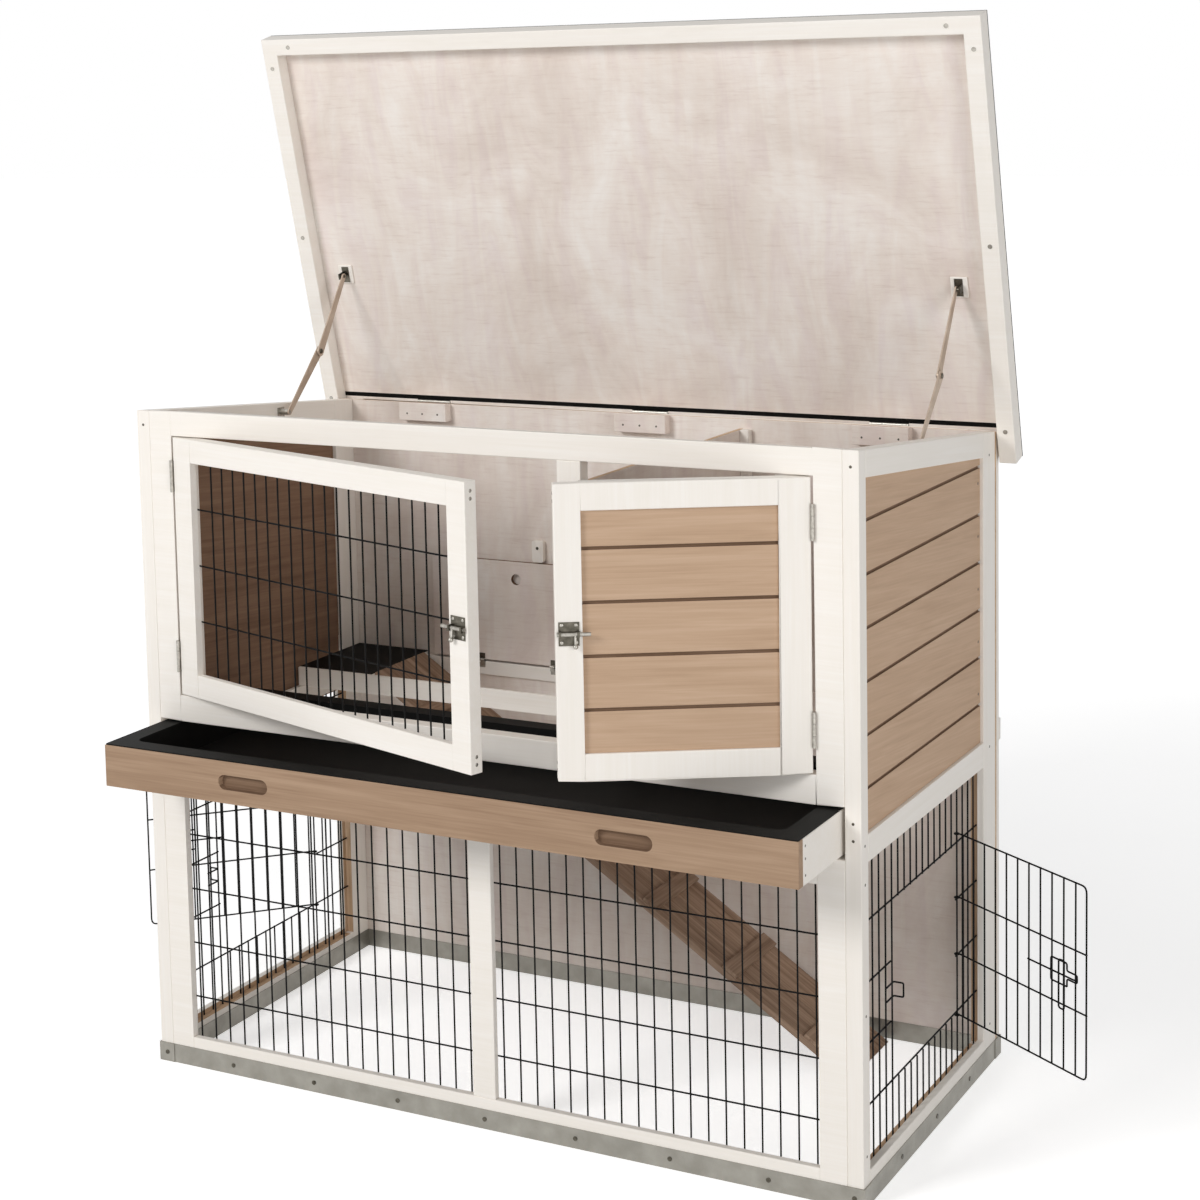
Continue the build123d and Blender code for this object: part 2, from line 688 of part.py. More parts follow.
LOWER_ARM_X = (STAY_X, STAY_X + STAY_T)
UPPER_ARM_X = (STAY_X - STAY_T - 2 * RUN, STAY_X - 2 * RUN)


def stay_lower_arm():
    x0, x1 = LOWER_ARM_X
    bar = arm(STAY_PIVOT, open_knee(), x0, x1)
    bar -= rod((x0 - 1, *STAY_PIVOT), (x1 + 1, *STAY_PIVOT), STUD_R + PIN_FIT)
    return bar + rod((x1, *open_knee()), (x1 + RIVET_H, *open_knee()), RIVET_R)


def stay_upper_arm():
    x0, x1 = UPPER_ARM_X
    top = roof_pivot(ROOF_OPEN_ANGLE)
    bar = arm(top, open_knee(), x0, x1)
    bar -= rod((x0 - 1, *top), (x1 + 1, *top), STUD_R + PIN_FIT)
    return bar + rod((x0 - RIVET_H, *open_knee()), (x0, *open_knee()), RIVET_R)


def stay_side_bracket():
    """A plate on the side rail with the stud that the lower arm turns on."""
    y, z = STAY_PIVOT
    plate = block(INNER_X - STAY_T, INNER_X, y - STAY_W / 2, y + STAY_W / 2, z - STAY_W, z + STAY_PIVOT_DOWN / 2)
    x_stud = LOWER_ARM_X[0] - RUN / 2
    stud = rod((x_stud, y, z), (INNER_X - STAY_T / 2, y, z), STUD_R)
    collar = rod((LOWER_ARM_X[1] + RUN, y, z), (INNER_X - STAY_T / 2, y, z), STUD_R * 1.8)
    return plate + stud + collar


def stay_pad():
    half = STAY_W * 0.8
    v = -STAY_ROOF_T
    return block(STAY_X - half, STAY_X + half, v - 1.2 * half, v + 1.2 * half,
                 ROOF_UNDER_W - STAY_T * 1.5, ROOF_UNDER_W)


def stay_roof_bracket():
    """A plate on the pad with an ear, and the stud that the upper arm turns on."""
    v = -STAY_ROOF_T
    w_pad = ROOF_UNDER_W - STAY_T * 1.5
    w_pin = ROOF_UNDER_W - STAY_ROOF_DOWN
    x_ear = LOWER_ARM_X[1] + RUN + RIVET_H
    plate = block(STAY_X - STAY_W * 0.4, x_ear + STAY_T, v - STAY_W * 0.8, v + STAY_W * 0.8,
                  w_pad - STAY_T / 2, w_pad)
    ear = block(x_ear, x_ear + STAY_T, v - STAY_END_W / 2, v + STAY_END_W / 2, w_pin - STAY_END_W / 2,
                w_pad - STAY_T / 4)
    stud = rod((UPPER_ARM_X[0] - RIVET_H / 2, v, w_pin), (x_ear + STAY_T / 2, v, w_pin), STUD_R)
    return plate + ear + stud


# Doors. Each is drawn shut, as a left-hand door whose hinge edge is at x 0 and face at y 0.
DOOR_Z0 = DOOR_SILL_Z + DOOR_GAP * 0.8
DOOR_Z1 = DOOR_TOP_Z - DOOR_GAP * 0.6
POST_LEFT = UPPER_POST_X - CENTRE_POST_W / 2
POST_RIGHT = UPPER_POST_X + CENTRE_POST_W / 2
MESH_DOOR_W = POST_LEFT + STILE_X - 2 * DOOR_GAP
PLANK_DOOR_W = STILE_X - POST_RIGHT - 2 * DOOR_GAP
DOOR_EDGE_X = STILE_X - DOOR_GAP
DOOR_AXIS_X = STILE_X - DOOR_GAP / 2
DOOR_AXIS_Y = -KNUCKLE_R - RUN


def hang_mesh_door(part):
    placed = Pos(-DOOR_EDGE_X, 0, 0) * part
    return placed.rotate(Axis((-DOOR_AXIS_X, DOOR_AXIS_Y, 0), (0, 0, 1)), -MESH_DOOR_OPEN)


def hang_plank_door(part):
    placed = Pos(DOOR_EDGE_X, 0, 0) * mirrored(part)
    return placed.rotate(Axis((DOOR_AXIS_X, DOOR_AXIS_Y, 0), (0, 0, 1)), PLANK_DOOR_OPEN)


def door_slab(width):
    """The rebate behind the door's opening."""
    return block(DOOR_STILE_HINGE - REBATE_W, width - DOOR_STILE_FREE + REBATE_W, LIP_T, DOOR_T + 1,
                 DOOR_Z0 + DOOR_RAIL_H - REBATE_W, DOOR_Z1 - DOOR_RAIL_H + REBATE_W)


def door_frame(width, slab):
    free = width - DOOR_STILE_FREE
    pieces = [block(0, DOOR_STILE_HINGE, 0, DOOR_T, DOOR_Z0, DOOR_Z1),
              block(free, width, 0, DOOR_T, DOOR_Z0, DOOR_Z1),
              block(DOOR_STILE_HINGE, free, 0, DOOR_T, DOOR_Z0, DOOR_Z0 + DOOR_RAIL_H),
              block(DOOR_STILE_HINGE, free, 0, DOOR_T, DOOR_Z1 - DOOR_RAIL_H, DOOR_Z1)]
    return [p - slab for p in pieces] if slab is not None else pieces


def door_mesh():
    inside = REBATE_W - RUN
    x0 = DOOR_STILE_HINGE - inside
    x1 = MESH_DOOR_W - DOOR_STILE_FREE + inside
    z0 = DOOR_Z0 + DOOR_RAIL_H - inside
    z1 = DOOR_Z1 - DOOR_RAIL_H + inside
    first = DOOR_STILE_HINGE + DOOR_WIRE_FIRST
    count = int((MESH_DOOR_W - DOOR_STILE_FREE - first) // WIRE_STEP) + 1
    uprights = [first + WIRE_STEP * k for k in range(count)]
    levels = [DOOR_LEVEL_TOP - CELL_H * k for k in range(5)]
    levels = [z for z in levels if z0 + WIRE < z < z1 - WIRE]
    grid = wire_grid(uprights, levels, x0, x1, z0, z1)
    return Pos(0, LIP_T + RUN, 0) * grid


def door_planks(width):
    x0, x1 = DOOR_STILE_HINGE, width - DOOR_STILE_FREE
    z = DOOR_Z0 + DOOR_RAIL_H
    end = DOOR_Z1 - DOOR_RAIL_H
    upper = z + DOOR_PLANK_FIRST
    y0 = DOOR_PLANK_SET
    boards = []
    while z < end - GROOVE_H:
        high = min(upper, end)
        board = block(x0, x1, y0, y0 + PLANK_T, z, high)
        if high < end:
            board -= block(x0 - 1, x1 + 1, y0 - 1, y0 + GROOVE_DEPTH, high - GROOVE_H, high + 1)
        boards.append(board)
        z = high
        upper = z + PLANK_STEP
    return boards


def door_hinge_heights():
    return (DOOR_Z0 + HINGE_INSET, DOOR_Z1 - HINGE_INSET - HINGE_H)


def door_moving_leaves():
    """Leaves on the hinge edge of a door drawn at x 0, with their middle knuckles."""
    axis_x = DOOR_AXIS_X - DOOR_EDGE_X
    leaves = []
    for z in door_hinge_heights():
        third = HINGE_H / 3
        leaf = block(-LEAF_T, 0, DOOR_AXIS_Y, LEAF_D, z, z + HINGE_H)
        leaf -= block(-LEAF_T - 1, 1, DOOR_AXIS_Y - 1, KNUCKLE_R + RUN + DOOR_AXIS_Y, z - 1, z + third + RUN)
        leaf -= block(-LEAF_T - 1, 1, DOOR_AXIS_Y - 1, KNUCKLE_R + RUN + DOOR_AXIS_Y,
                      z + 2 * third - RUN, z + HINGE_H + 1)
        leaf += rod((-axis_x, DOOR_AXIS_Y, z + third + RUN), (-axis_x, DOOR_AXIS_Y, z + 2 * third - RUN), KNUCKLE_R)
        leaf -= rod((-axis_x, DOOR_AXIS_Y, z), (-axis_x, DOOR_AXIS_Y, z + HINGE_H), PIN_R + PIN_FIT)
        leaves.append(leaf)
    return leaves


def door_fixed_leaves():
    """The frame's halves of the door hinges on the right-hand stile, with the pins."""
    leaves = []
    for z in door_hinge_heights():
        third = HINGE_H / 3
        leaf = block(STILE_X - LEAF_T, STILE_X, DOOR_AXIS_Y, LEAF_D, z, z + HINGE_H)
        leaf -= block(STILE_X - LEAF_T - 1, STILE_X + 1, DOOR_AXIS_Y - 1, DOOR_AXIS_Y + KNUCKLE_R + RUN,
                      z + third - RUN, z + 2 * third + RUN)
        axis = (DOOR_AXIS_X, DOOR_AXIS_Y)
        leaf += rod((*axis, z), (*axis, z + third - RUN), KNUCKLE_R)
        leaf += rod((*axis, z + 2 * third + RUN), (*axis, z + HINGE_H), KNUCKLE_R)
        leaf += rod((*axis, z), (*axis, z + HINGE_H), PIN_R)
        leaves.append(leaf)
    return leaves


BOLT_Y = -BOLT_PLATE_T - BOLT_R - RUN


def bolt_housing(width):
    """A square plate on the free stile with two guides for the bolt."""
    mid = width - DOOR_STILE_FREE / 2
    x0, x1 = mid - BOLT_PLATE_W / 2, mid + BOLT_PLATE_W / 2
    plate = block(x0, x1, -BOLT_PLATE_T, 0, BOLT_Z - BOLT_PLATE_H / 2, BOLT_Z + BOLT_PLATE_H / 2)
    wall = BOLT_R + PIN_FIT + BOLT_PLATE_T
    for a in (x0, x1 - BOLT_GUIDE_W):
        b = a + BOLT_GUIDE_W
        guide = block(a, b, BOLT_Y - wall, -BOLT_PLATE_T / 2, BOLT_Z - wall, BOLT_Z + wall)
        plate += guide - rod((a - 1, BOLT_Y, BOLT_Z), (b + 1, BOLT_Y, BOLT_Z), BOLT_R + PIN_FIT)
    return plate


def bolt(width):
    """The bolt drawn back: its tail stands out towards the hinge side, its knob hangs down."""
    mid = width - DOOR_STILE_FREE / 2
    x0 = mid - BOLT_PLATE_W / 2 - BOLT_TAIL
    pin = rod((x0, BOLT_Y, BOLT_Z), (x0 + BOLT_L, BOLT_Y, BOLT_Z), BOLT_R)
    knob_x = mid - BOLT_PLATE_W / 2 + BOLT_GUIDE_W + BOLT_KNOB_IN
    drop = BOLT_PLATE_H / 2
    neck = rod((knob_x, BOLT_Y, BOLT_Z), (knob_x, BOLT_Y - BOLT_R, BOLT_Z - drop), BOLT_R * 0.7)
    knob = Pos(knob_x, BOLT_Y - BOLT_R, BOLT_Z - drop) * Sphere(BOLT_R * 1.3)
    return pin + neck + knob


def bolt_keepers():
    """Two small staples on the centre post that the bolts slide into."""
    wall = BOLT_R + PIN_FIT + BOLT_PLATE_T
    keepers = []
    for x in (POST_LEFT + KEEPER_INSET, POST_RIGHT - KEEPER_INSET):
        a, b = x - KEEPER_W / 2, x + KEEPER_W / 2
        staple = block(a, b, BOLT_Y - wall, 0, BOLT_Z - wall, BOLT_Z + wall)
        keepers.append(staple - rod((a - 1, BOLT_Y, BOLT_Z), (b + 1, BOLT_Y, BOLT_Z), BOLT_R + PIN_FIT))
    return keepers


# Drawer, drawn shut and then pulled out
DRAWER_HALF_W = INNER_X - DRAWER_GAP_SIDE
DRAWER_Z0 = LOWER_TOP_Z + DRAWER_GAP_BELOW
DRAWER_Z1 = DRAWER_Z0 + DRAWER_H


def pulled(part):
    return Pos(0, -DRAWER_OUT, 0) * part


def drawer_front():
    board = block(-DRAWER_HALF_W, DRAWER_HALF_W, 0, DRAWER_FRONT_T, DRAWER_Z0, DRAWER_Z1)
    mid = (DRAWER_Z0 + DRAWER_Z1) / 2
    slot = Plane.XZ * SlotOverall(SLOT_W, SLOT_H)
    cut = extrude(slot, amount=SLOT_DEPTH, both=True)
    for x in (-SLOT_X, SLOT_X):
        board -= Pos(x, 0, mid) * cut
    return pulled(board)


def drawer_sides():
    side = block(DRAWER_HALF_W - DRAWER_SIDE_T, DRAWER_HALF_W, DRAWER_FRONT_T, DRAWER_D, DRAWER_Z0, DRAWER_Z1)
    inner = DRAWER_HALF_W - DRAWER_SIDE_T
    back = block(-inner, inner, DRAWER_D - DRAWER_SIDE_T, DRAWER_D, DRAWER_Z0, DRAWER_Z1)
    return [pulled(p) for p in both(side) + [back]]


def tray_ring(inset, radius):
    """The tray's outline, drawn in from the drawer's outline."""
    width = 2 * (DRAWER_HALF_W - inset)
    depth = DRAWER_D - 2 * inset
    return Pos(0, DRAWER_D / 2, 0) * RectangleRounded(width, depth, radius)


def drawer_tray():
    """A moulded tray whose wide flange rests on the drawer's frame."""
    top = DRAWER_Z1
    flange = Pos(0, 0, top) * extrude(tray_ring(1.0, 2.0), amount=TRAY_T)
    mouth = TRAY_FLANGE
    foot = TRAY_FLANGE + TRAY_TAPER
    shell = loft([Pos(0, 0, top - TRAY_DEPTH) * tray_ring(foot - TRAY_T, TRAY_CORNER_R),
                  Pos(0, 0, top + TRAY_T / 2) * tray_ring(mouth - TRAY_T, TRAY_CORNER_R)])
    hollow = loft([Pos(0, 0, top - TRAY_DEPTH + TRAY_T) * tray_ring(foot, TRAY_CORNER_R - TRAY_T),
                   Pos(0, 0, top + 2 * TRAY_T) * tray_ring(mouth, TRAY_CORNER_R - TRAY_T)])
    return pulled(flange + shell - hollow)


def drawer_runners():
    rail_y = DRAWER_D + CROSS_RAIL_GAP
    runner = block(INNER_X - RUNNER_W, INNER_X, TIMBER_T, rail_y, DRAWER_Z0 - RUN - RUNNER_H, DRAWER_Z0 - RUN)
    return both(runner)


# Rear floor
CROSS_RAIL_Y = DRAWER_D + CROSS_RAIL_GAP
FLOOR_UNDER = FLOOR_TOP - FLOOR_T
FLOOR_Y0 = CROSS_RAIL_Y + CROSS_RAIL_LIP + RUN
PLATFORM_X = -INNER_X + PLATFORM_W
HATCH_X0 = PLATFORM_X + HATCH_GAP
HATCH_X1 = HATCH_X0 + HATCH_W
HATCH_FACE_Y = WALL_Y - HATCH_WALL_GAP - HATCH_T
HATCH_AXIS_Y = HATCH_FACE_Y - HATCH_HINGE_R
HATCH_AXIS_Z = FLOOR_UNDER + RUN + HATCH_HINGE_R
HATCH_Z0 = HATCH_AXIS_Z + RUN * 2


def floor_rails():
    """The rebated cross rail behind the drawer, and the rail on the back wall."""
    y0 = CROSS_RAIL_Y
    cross = block(-INNER_X, INNER_X, y0, y0 + CROSS_RAIL_T, FLOOR_TOP - CROSS_RAIL_H, FLOOR_TOP)
    cross -= block(-INNER_X - 1, INNER_X + 1, y0 + CROSS_RAIL_LIP, y0 + CROSS_RAIL_T + 1,
                   FLOOR_UNDER, FLOOR_TOP + 1)
    wall = block(-INNER_X, INNER_X, HATCH_FACE_Y, WALL_Y, FLOOR_UNDER - WALL_RAIL_H, FLOOR_UNDER)
    return [cross, wall]


def platform_board():
    return block(-INNER_X, PLATFORM_X, FLOOR_Y0, WALL_Y, FLOOR_UNDER, FLOOR_TOP - MAT_T)


def platform_mat():
    return block(-INNER_X, PLATFORM_X, FLOOR_Y0, WALL_Y, FLOOR_TOP - MAT_T, FLOOR_TOP)


def rear_floor_boards():
    joint = PARTITION_X0
    gap = HATCH_GAP / 6
    left = block(HATCH_X1 + gap, joint, FLOOR_Y0, WALL_Y, FLOOR_UNDER, FLOOR_TOP)
    right = block(joint, INNER_X, FLOOR_Y0, WALL_Y, FLOOR_UNDER, FLOOR_TOP)
    return [left, right]


def hatch_board():
    board = block(HATCH_X0, HATCH_X1, HATCH_FACE_Y, HATCH_FACE_Y + HATCH_T, HATCH_Z0, HATCH_Z0 + HATCH_L)
    x = (HATCH_X0 + HATCH_X1) / 2
    z = HATCH_Z0 + HATCH_L - HATCH_HOLE_DOWN
    return board - rod((x, HATCH_FACE_Y - 1, z), (x, WALL_Y, z), HATCH_HOLE_R)


def hatch_hinge_places():
    return (HATCH_X0 + HATCH_W * 0.27, HATCH_X1 - HATCH_W * 0.27)


def hatch_leaves():
    leaves = []
    half = HATCH_HINGE_W / 2
    for x in hatch_hinge_places():
        leaf = block(x - half, x + half, HATCH_FACE_Y - LEAF_T, HATCH_FACE_Y,
                     HATCH_AXIS_Z + HATCH_HINGE_R, HATCH_Z0 + HATCH_LEAF_H)
        third = half / 3
        leaf += block(x - third, x + third, HATCH_FACE_Y - LEAF_T, HATCH_FACE_Y,
                      HATCH_AXIS_Z, HATCH_AXIS_Z + HATCH_HINGE_R + 1)
        arm_top = HATCH_Z0 + LEAF_T
        leaf += block(x - third, x + third, HATCH_AXIS_Y, HATCH_FACE_Y, HATCH_AXIS_Z, arm_top)
        axis = (HATCH_AXIS_Y, HATCH_AXIS_Z)
        leaf += rod((x - third, *axis), (x + third, *axis), HATCH_HINGE_R - RUN)
        leaf -= rod((x - half, *axis), (x + half, *axis), PIN_R + PIN_FIT)
        leaves.append(leaf)
    return leaves


def hatch_fixed_leaves():
    leaves = []
    half = HATCH_HINGE_W / 2
    for x in hatch_hinge_places():
        leaf = block(x - half, x + half, HATCH_FACE_Y - LEAF_T, HATCH_FACE_Y,
                     FLOOR_UNDER - HATCH_LEAF_H, FLOOR_UNDER - HATCH_HINGE_R)
        third = half / 3
        axis = (HATCH_AXIS_Y, HATCH_AXIS_Z)
        for side in (-1, 1):
            a, b = sorted((x + side * (third + RUN), x + side * half))
            leaf += block(a, b, HATCH_AXIS_Y, HATCH_FACE_Y, FLOOR_UNDER - HATCH_HINGE_R * 2, FLOOR_UNDER)
            leaf += rod((a, *axis), (b, *axis), HATCH_HINGE_R - RUN)
            leaf += block(a, b, HATCH_AXIS_Y - LEAF_T, HATCH_AXIS_Y, FLOOR_UNDER - HATCH_HINGE_R * 2, HATCH_AXIS_Z)
        leaf += rod((x - half, *axis), (x + half, *axis), PIN_R)
        leaves.append(leaf)
    return leaves


BUTTON_X = (HATCH_X0 + HATCH_X1) / 2 + BUTTON_SIDE
BUTTON_PIVOT_Z = HATCH_Z0 + HATCH_L + RUN * 8 + BUTTON_PIVOT_UP


def hatch_button():
    """A turning block on the back wall, just above the folded hatch."""
    z0 = BUTTON_PIVOT_Z - BUTTON_PIVOT_UP
    face = Plane.XZ * RectangleRounded(BUTTON_W, BUTTON_H, BUTTON_W / 5)
    y1 = WALL_Y - RUN
    bar = Pos(BUTTON_X, y1, z0 + BUTTON_H / 2) * extrude(face, amount=BUTTON_T)
    return bar + screw_head(BUTTON_X, y1 - BUTTON_T, BUTTON_PIVOT_Z, (0, -1, 0))


# Ramp
RAMP_Y1 = HATCH_AXIS_Y - HATCH_HINGE_R
RAMP_Y0 = CROSS_RAIL_Y + CROSS_RAIL_T + RUN * 4


def ramp_strip(start, run, low, high, y0, y1):
    """A slab laid on the ramp's slope: start and run along it, low and high off its upper face."""
    a = radians(RAMP_ANGLE)
    x0 = PLATFORM_X
    z0 = FLOOR_TOP

    def at(s, h):
        return (x0 + s * cos(a) + h * sin(a), z0 - s * sin(a) + h * cos(a))

    return prism_y([at(start, low), at(start + run, low), at(start + run, high), at(start, high)], y0, y1)


def ramp_boards():
    """Two boards side by side, cut off plumb at the platform and level at the ground."""
    a = radians(RAMP_ANGLE)
    run = FLOOR_TOP / sin(a)
    middle = (RAMP_Y0 + RAMP_Y1) / 2
    boards = []
    keep = block(PLATFORM_X, INNER_X, RAMP_Y0, RAMP_Y1, 0, FLOOR_TOP)
    for y0, y1 in ((RAMP_Y0, middle - RUN), (middle + RUN, RAMP_Y1)):
        slab = ramp_strip(-RAMP_T, run + 2 * RAMP_T, -RAMP_T, 0, y0, y1)
        boards.append(slab & keep)
    return boards


def ramp_cleats():
    length = FLOOR_TOP / sin(radians(RAMP_ANGLE))
    count = int((length - CLEAT_FIRST) // CLEAT_STEP) + 1
    return [ramp_strip(CLEAT_FIRST + CLEAT_STEP * k, CLEAT_W, 0, CLEAT_T, RAMP_Y0, RAMP_Y1)
            for k in range(count)]


# Partition between the two rooms
PARTITION_X0 = UPPER_POST_X + CENTRE_POST_W / 2 - PARTITION_T * 1.5


def partition_panel():
    x0, x1 = PARTITION_X0, PARTITION_X0 + PARTITION_T
    panel = block(x0, x1, TIMBER_T, WALL_Y, UPPER_SILL_Z, PARTITION_TOP)
    y0 = TIMBER_T + DOORWAY_Y
    radius = DOORWAY_W / 2
    spring = UPPER_SILL_Z + DOORWAY_H - radius
    way = block(x0 - 1, x1 + 1, y0, y0 + DOORWAY_W, UPPER_SILL_Z + 2 * PARTITION_T, spring)
    way += rod((x0 - 1, y0 + radius, spring), (x1 + 1, y0 + radius, spring), radius)
    return panel - way


def partition_battens():
    x0 = PARTITION_X0 + PARTITION_T
    x1 = x0 + PARTITION_BATTEN
    z0, z1 = UPPER_SILL_Z, PARTITION_TOP
    front = block(x0, x1, TIMBER_T, TIMBER_T + PARTITION_BATTEN, z0, z1)
    rear = block(x0, x1, WALL_Y - PARTITION_BATTEN, WALL_Y, z0, z1)
    return [front, rear]


# Gates. Each is drawn shut, on the right-hand side, with its eyes round the opening's rear wire.
def gate_levels():
    return [z + rise for z, rise in zip(side_levels(), GATE_RISE)]


GATE_X = SIDE_WIRE_X + GATE_OFFSET


def gate_panel():
    top, bottom = gate_levels()[0], gate_levels()[-1]
    x0, x1 = GATE_X - WIRE / 2, GATE_X + WIRE / 2
    step = (GATE_W - GATE_FIRST_WIRE) / (GATE_WIRES - 1)
    bars = []
    for k in range(GATE_WIRES):
        y = HINGE_WIRE_Y - GATE_FIRST_WIRE - step * k
        bars.append(block(x1 - WELD, x1 - WELD + WIRE, y - WIRE / 2, y + WIRE / 2, bottom, top))
    for z in gate_levels():
        bars.append(block(x0, x1, HINGE_WIRE_Y - GATE_W - WIRE / 2, HINGE_WIRE_Y, z - WIRE / 2, z + WIRE / 2))
        low = (SIDE_WIRE_X, HINGE_WIRE_Y, z - WIRE / 2)
        high = (SIDE_WIRE_X, HINGE_WIRE_Y, z + WIRE / 2)
        bars.append(rod(low, high, EYE_R + EYE_T))
    y_first, y_last = (HINGE_WIRE_Y - GATE_FIRST_WIRE - step * (GATE_WIRES - k) for k in (2, 6))
    bars.append(block(x0, x1, y_first, y_last, LATCH_Z - WIRE / 2, LATCH_Z + WIRE / 2))
    panel = fused(bars)
    bore = rod((SIDE_WIRE_X, HINGE_WIRE_Y, bottom - 10), (SIDE_WIRE_X, HINGE_WIRE_Y, top + 10), EYE_R)
    return panel - bore


def gate_latch():
    """A bent wire loop that slides along the gate's outer face, nose first into the catch,
    with a pull that hangs from it."""
    x0 = GATE_X + WIRE / 2 - WELD + WIRE + RUN
    x1 = x0 + WIRE
    y0 = HINGE_WIRE_Y - GATE_W + LATCH_END
    y1 = y0 + LATCH_W
    shoulder = y0 + NOSE_L
    bars = []
    for low, high, start, stop in ((-NOSE_H, NOSE_H, y0, shoulder + WIRE), (-LATCH_H, LATCH_H, shoulder, y1)):
        z0, z1 = LATCH_Z + low / 2, LATCH_Z + high / 2
        bars += [block(x0, x1, start, stop, z0, z0 + WIRE), block(x0, x1, start, stop, z1 - WIRE, z1),
                 block(x0, x1, start, start + WIRE, z0, z1)]
    z1 = LATCH_Z + LATCH_H / 2
    bars.append(block(x0, x1, y1 - WIRE, y1, z1 - LATCH_H, z1))
    hx0, hx1 = x1 - WELD, x1 + WIRE - WELD
    hy = shoulder + WIRE * 3
    for y in (hy, hy + HANDLE_W):
        bars.append(block(hx0, hx1, y, y + WIRE, LATCH_Z - HANDLE_L, z1))
    for z in (LATCH_Z - HANDLE_L, z1 - WIRE):
        bars.append(block(hx0, hx1, hy, hy + HANDLE_W + WIRE, z, z + WIRE))
    return fused(bars)


def hang_right_gate(part):
    return part.rotate(Axis((SIDE_WIRE_X, HINGE_WIRE_Y, 0), (0, 0, 1)), RIGHT_GATE_OPEN)


def hang_left_gate(part):
    return mirrored(part.rotate(Axis((SIDE_WIRE_X, HINGE_WIRE_Y, 0), (0, 0, 1)), LEFT_GATE_OPEN))


# The fixed body
save("base_edging", base_edging())
save("edging_screws", edging_screws())
save("side_posts", side_posts())
save("side_rails", side_rails())
save("right_side_planks", side_planks())
save("left_side_planks", [mirrored(p) for p in side_planks()])
save("upper_front_frame", upper_front_frame())
save("lower_front_frame", lower_front_frame())
save("right_front_mesh", [front_mesh()])
save("left_front_mesh", [mirrored(front_mesh())])
save("right_side_mesh", [side_mesh()])
save("left_side_mesh", [mirrored(side_mesh())])
save("back_panels", back_panels())
save("back_frame", back_frame())
save("hinge_blocks", hinge_blocks())
save("roof_hinge_fixed_leaves", roof_fixed_leaves())
save("partition_panel", [partition_panel()])
save("partition_battens", partition_battens())
save("floor_rails", floor_rails())
save("drawer_runners", drawer_runners())
save("platform_board", [platform_board()])
save("platform_mat", [platform_mat()])
save("rear_floor_boards", rear_floor_boards())
save("ramp_boards", ramp_boards())
save("ramp_cleats", ramp_cleats())
save("stay_side_brackets", both(stay_side_bracket()))
save("bolt_keepers", bolt_keepers())
save("hinge_fixed_leaves", [p for leaf in door_fixed_leaves() for p in both(leaf)] + hatch_fixed_leaves())

# The roof and its stays
save("roof_panel", roof_panel())
save("roof_rails", roof_rails())
save("roof_felt", roof_felt())
save("roof_sealing_strip", [roof_strip()])
save("roof_hinge_moving_leaves", roof_moving_leaves())
save("roof_screws", roof_screws())
save("stay_pads", [on_roof(p) for p in both(stay_pad())])
save("stay_roof_brackets", [on_roof(p) for p in both(stay_roof_bracket())])
save("right_stay_lower_arm", [stay_lower_arm()])
save("right_stay_upper_arm", [stay_upper_arm()])
save("left_stay_lower_arm", [mirrored(stay_lower_arm())])
save("left_stay_upper_arm", [mirrored(stay_upper_arm())])

# The doors
save("mesh_door_frame", [hang_mesh_door(p) for p in door_frame(MESH_DOOR_W, door_slab(MESH_DOOR_W))])
save("mesh_door_mesh", [hang_mesh_door(door_mesh())])
save("mesh_door_hinge_leaves", [hang_mesh_door(p) for p in door_moving_leaves()])
save("mesh_door_bolt_housing", [hang_mesh_door(bolt_housing(MESH_DOOR_W))])
save("mesh_door_bolt", [hang_mesh_door(bolt(MESH_DOOR_W))])
save("plank_door_frame", [hang_plank_door(p) for p in door_frame(PLANK_DOOR_W, None)])
save("plank_door_planks", [hang_plank_door(p) for p in door_planks(PLANK_DOOR_W)])
save("plank_door_hinge_leaves", [hang_plank_door(p) for p in door_moving_leaves()])
save("plank_door_bolt_housing", [hang_plank_door(bolt_housing(PLANK_DOOR_W))])
save("plank_door_bolt", [hang_plank_door(bolt(PLANK_DOOR_W))])

# The drawer, the hatch and the gates
save("drawer_front", [drawer_front()])
save("drawer_sides", drawer_sides())
save("drawer_tray", [drawer_tray()])
save("hatch_board", [hatch_board()])
save("hatch_hinge_leaves", hatch_leaves())
save("hatch_button", [hatch_button()])
save("right_gate", [hang_right_gate(gate_panel())])
save("right_gate_latch", [hang_right_gate(gate_latch())])
save("left_gate", [hang_left_gate(gate_panel())])
save("left_gate_latch", [hang_left_gate(gate_latch())])
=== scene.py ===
import json
import random
from math import cos, pi, radians, sin

import bmesh
import bpy
from mathutils import Matrix, Vector


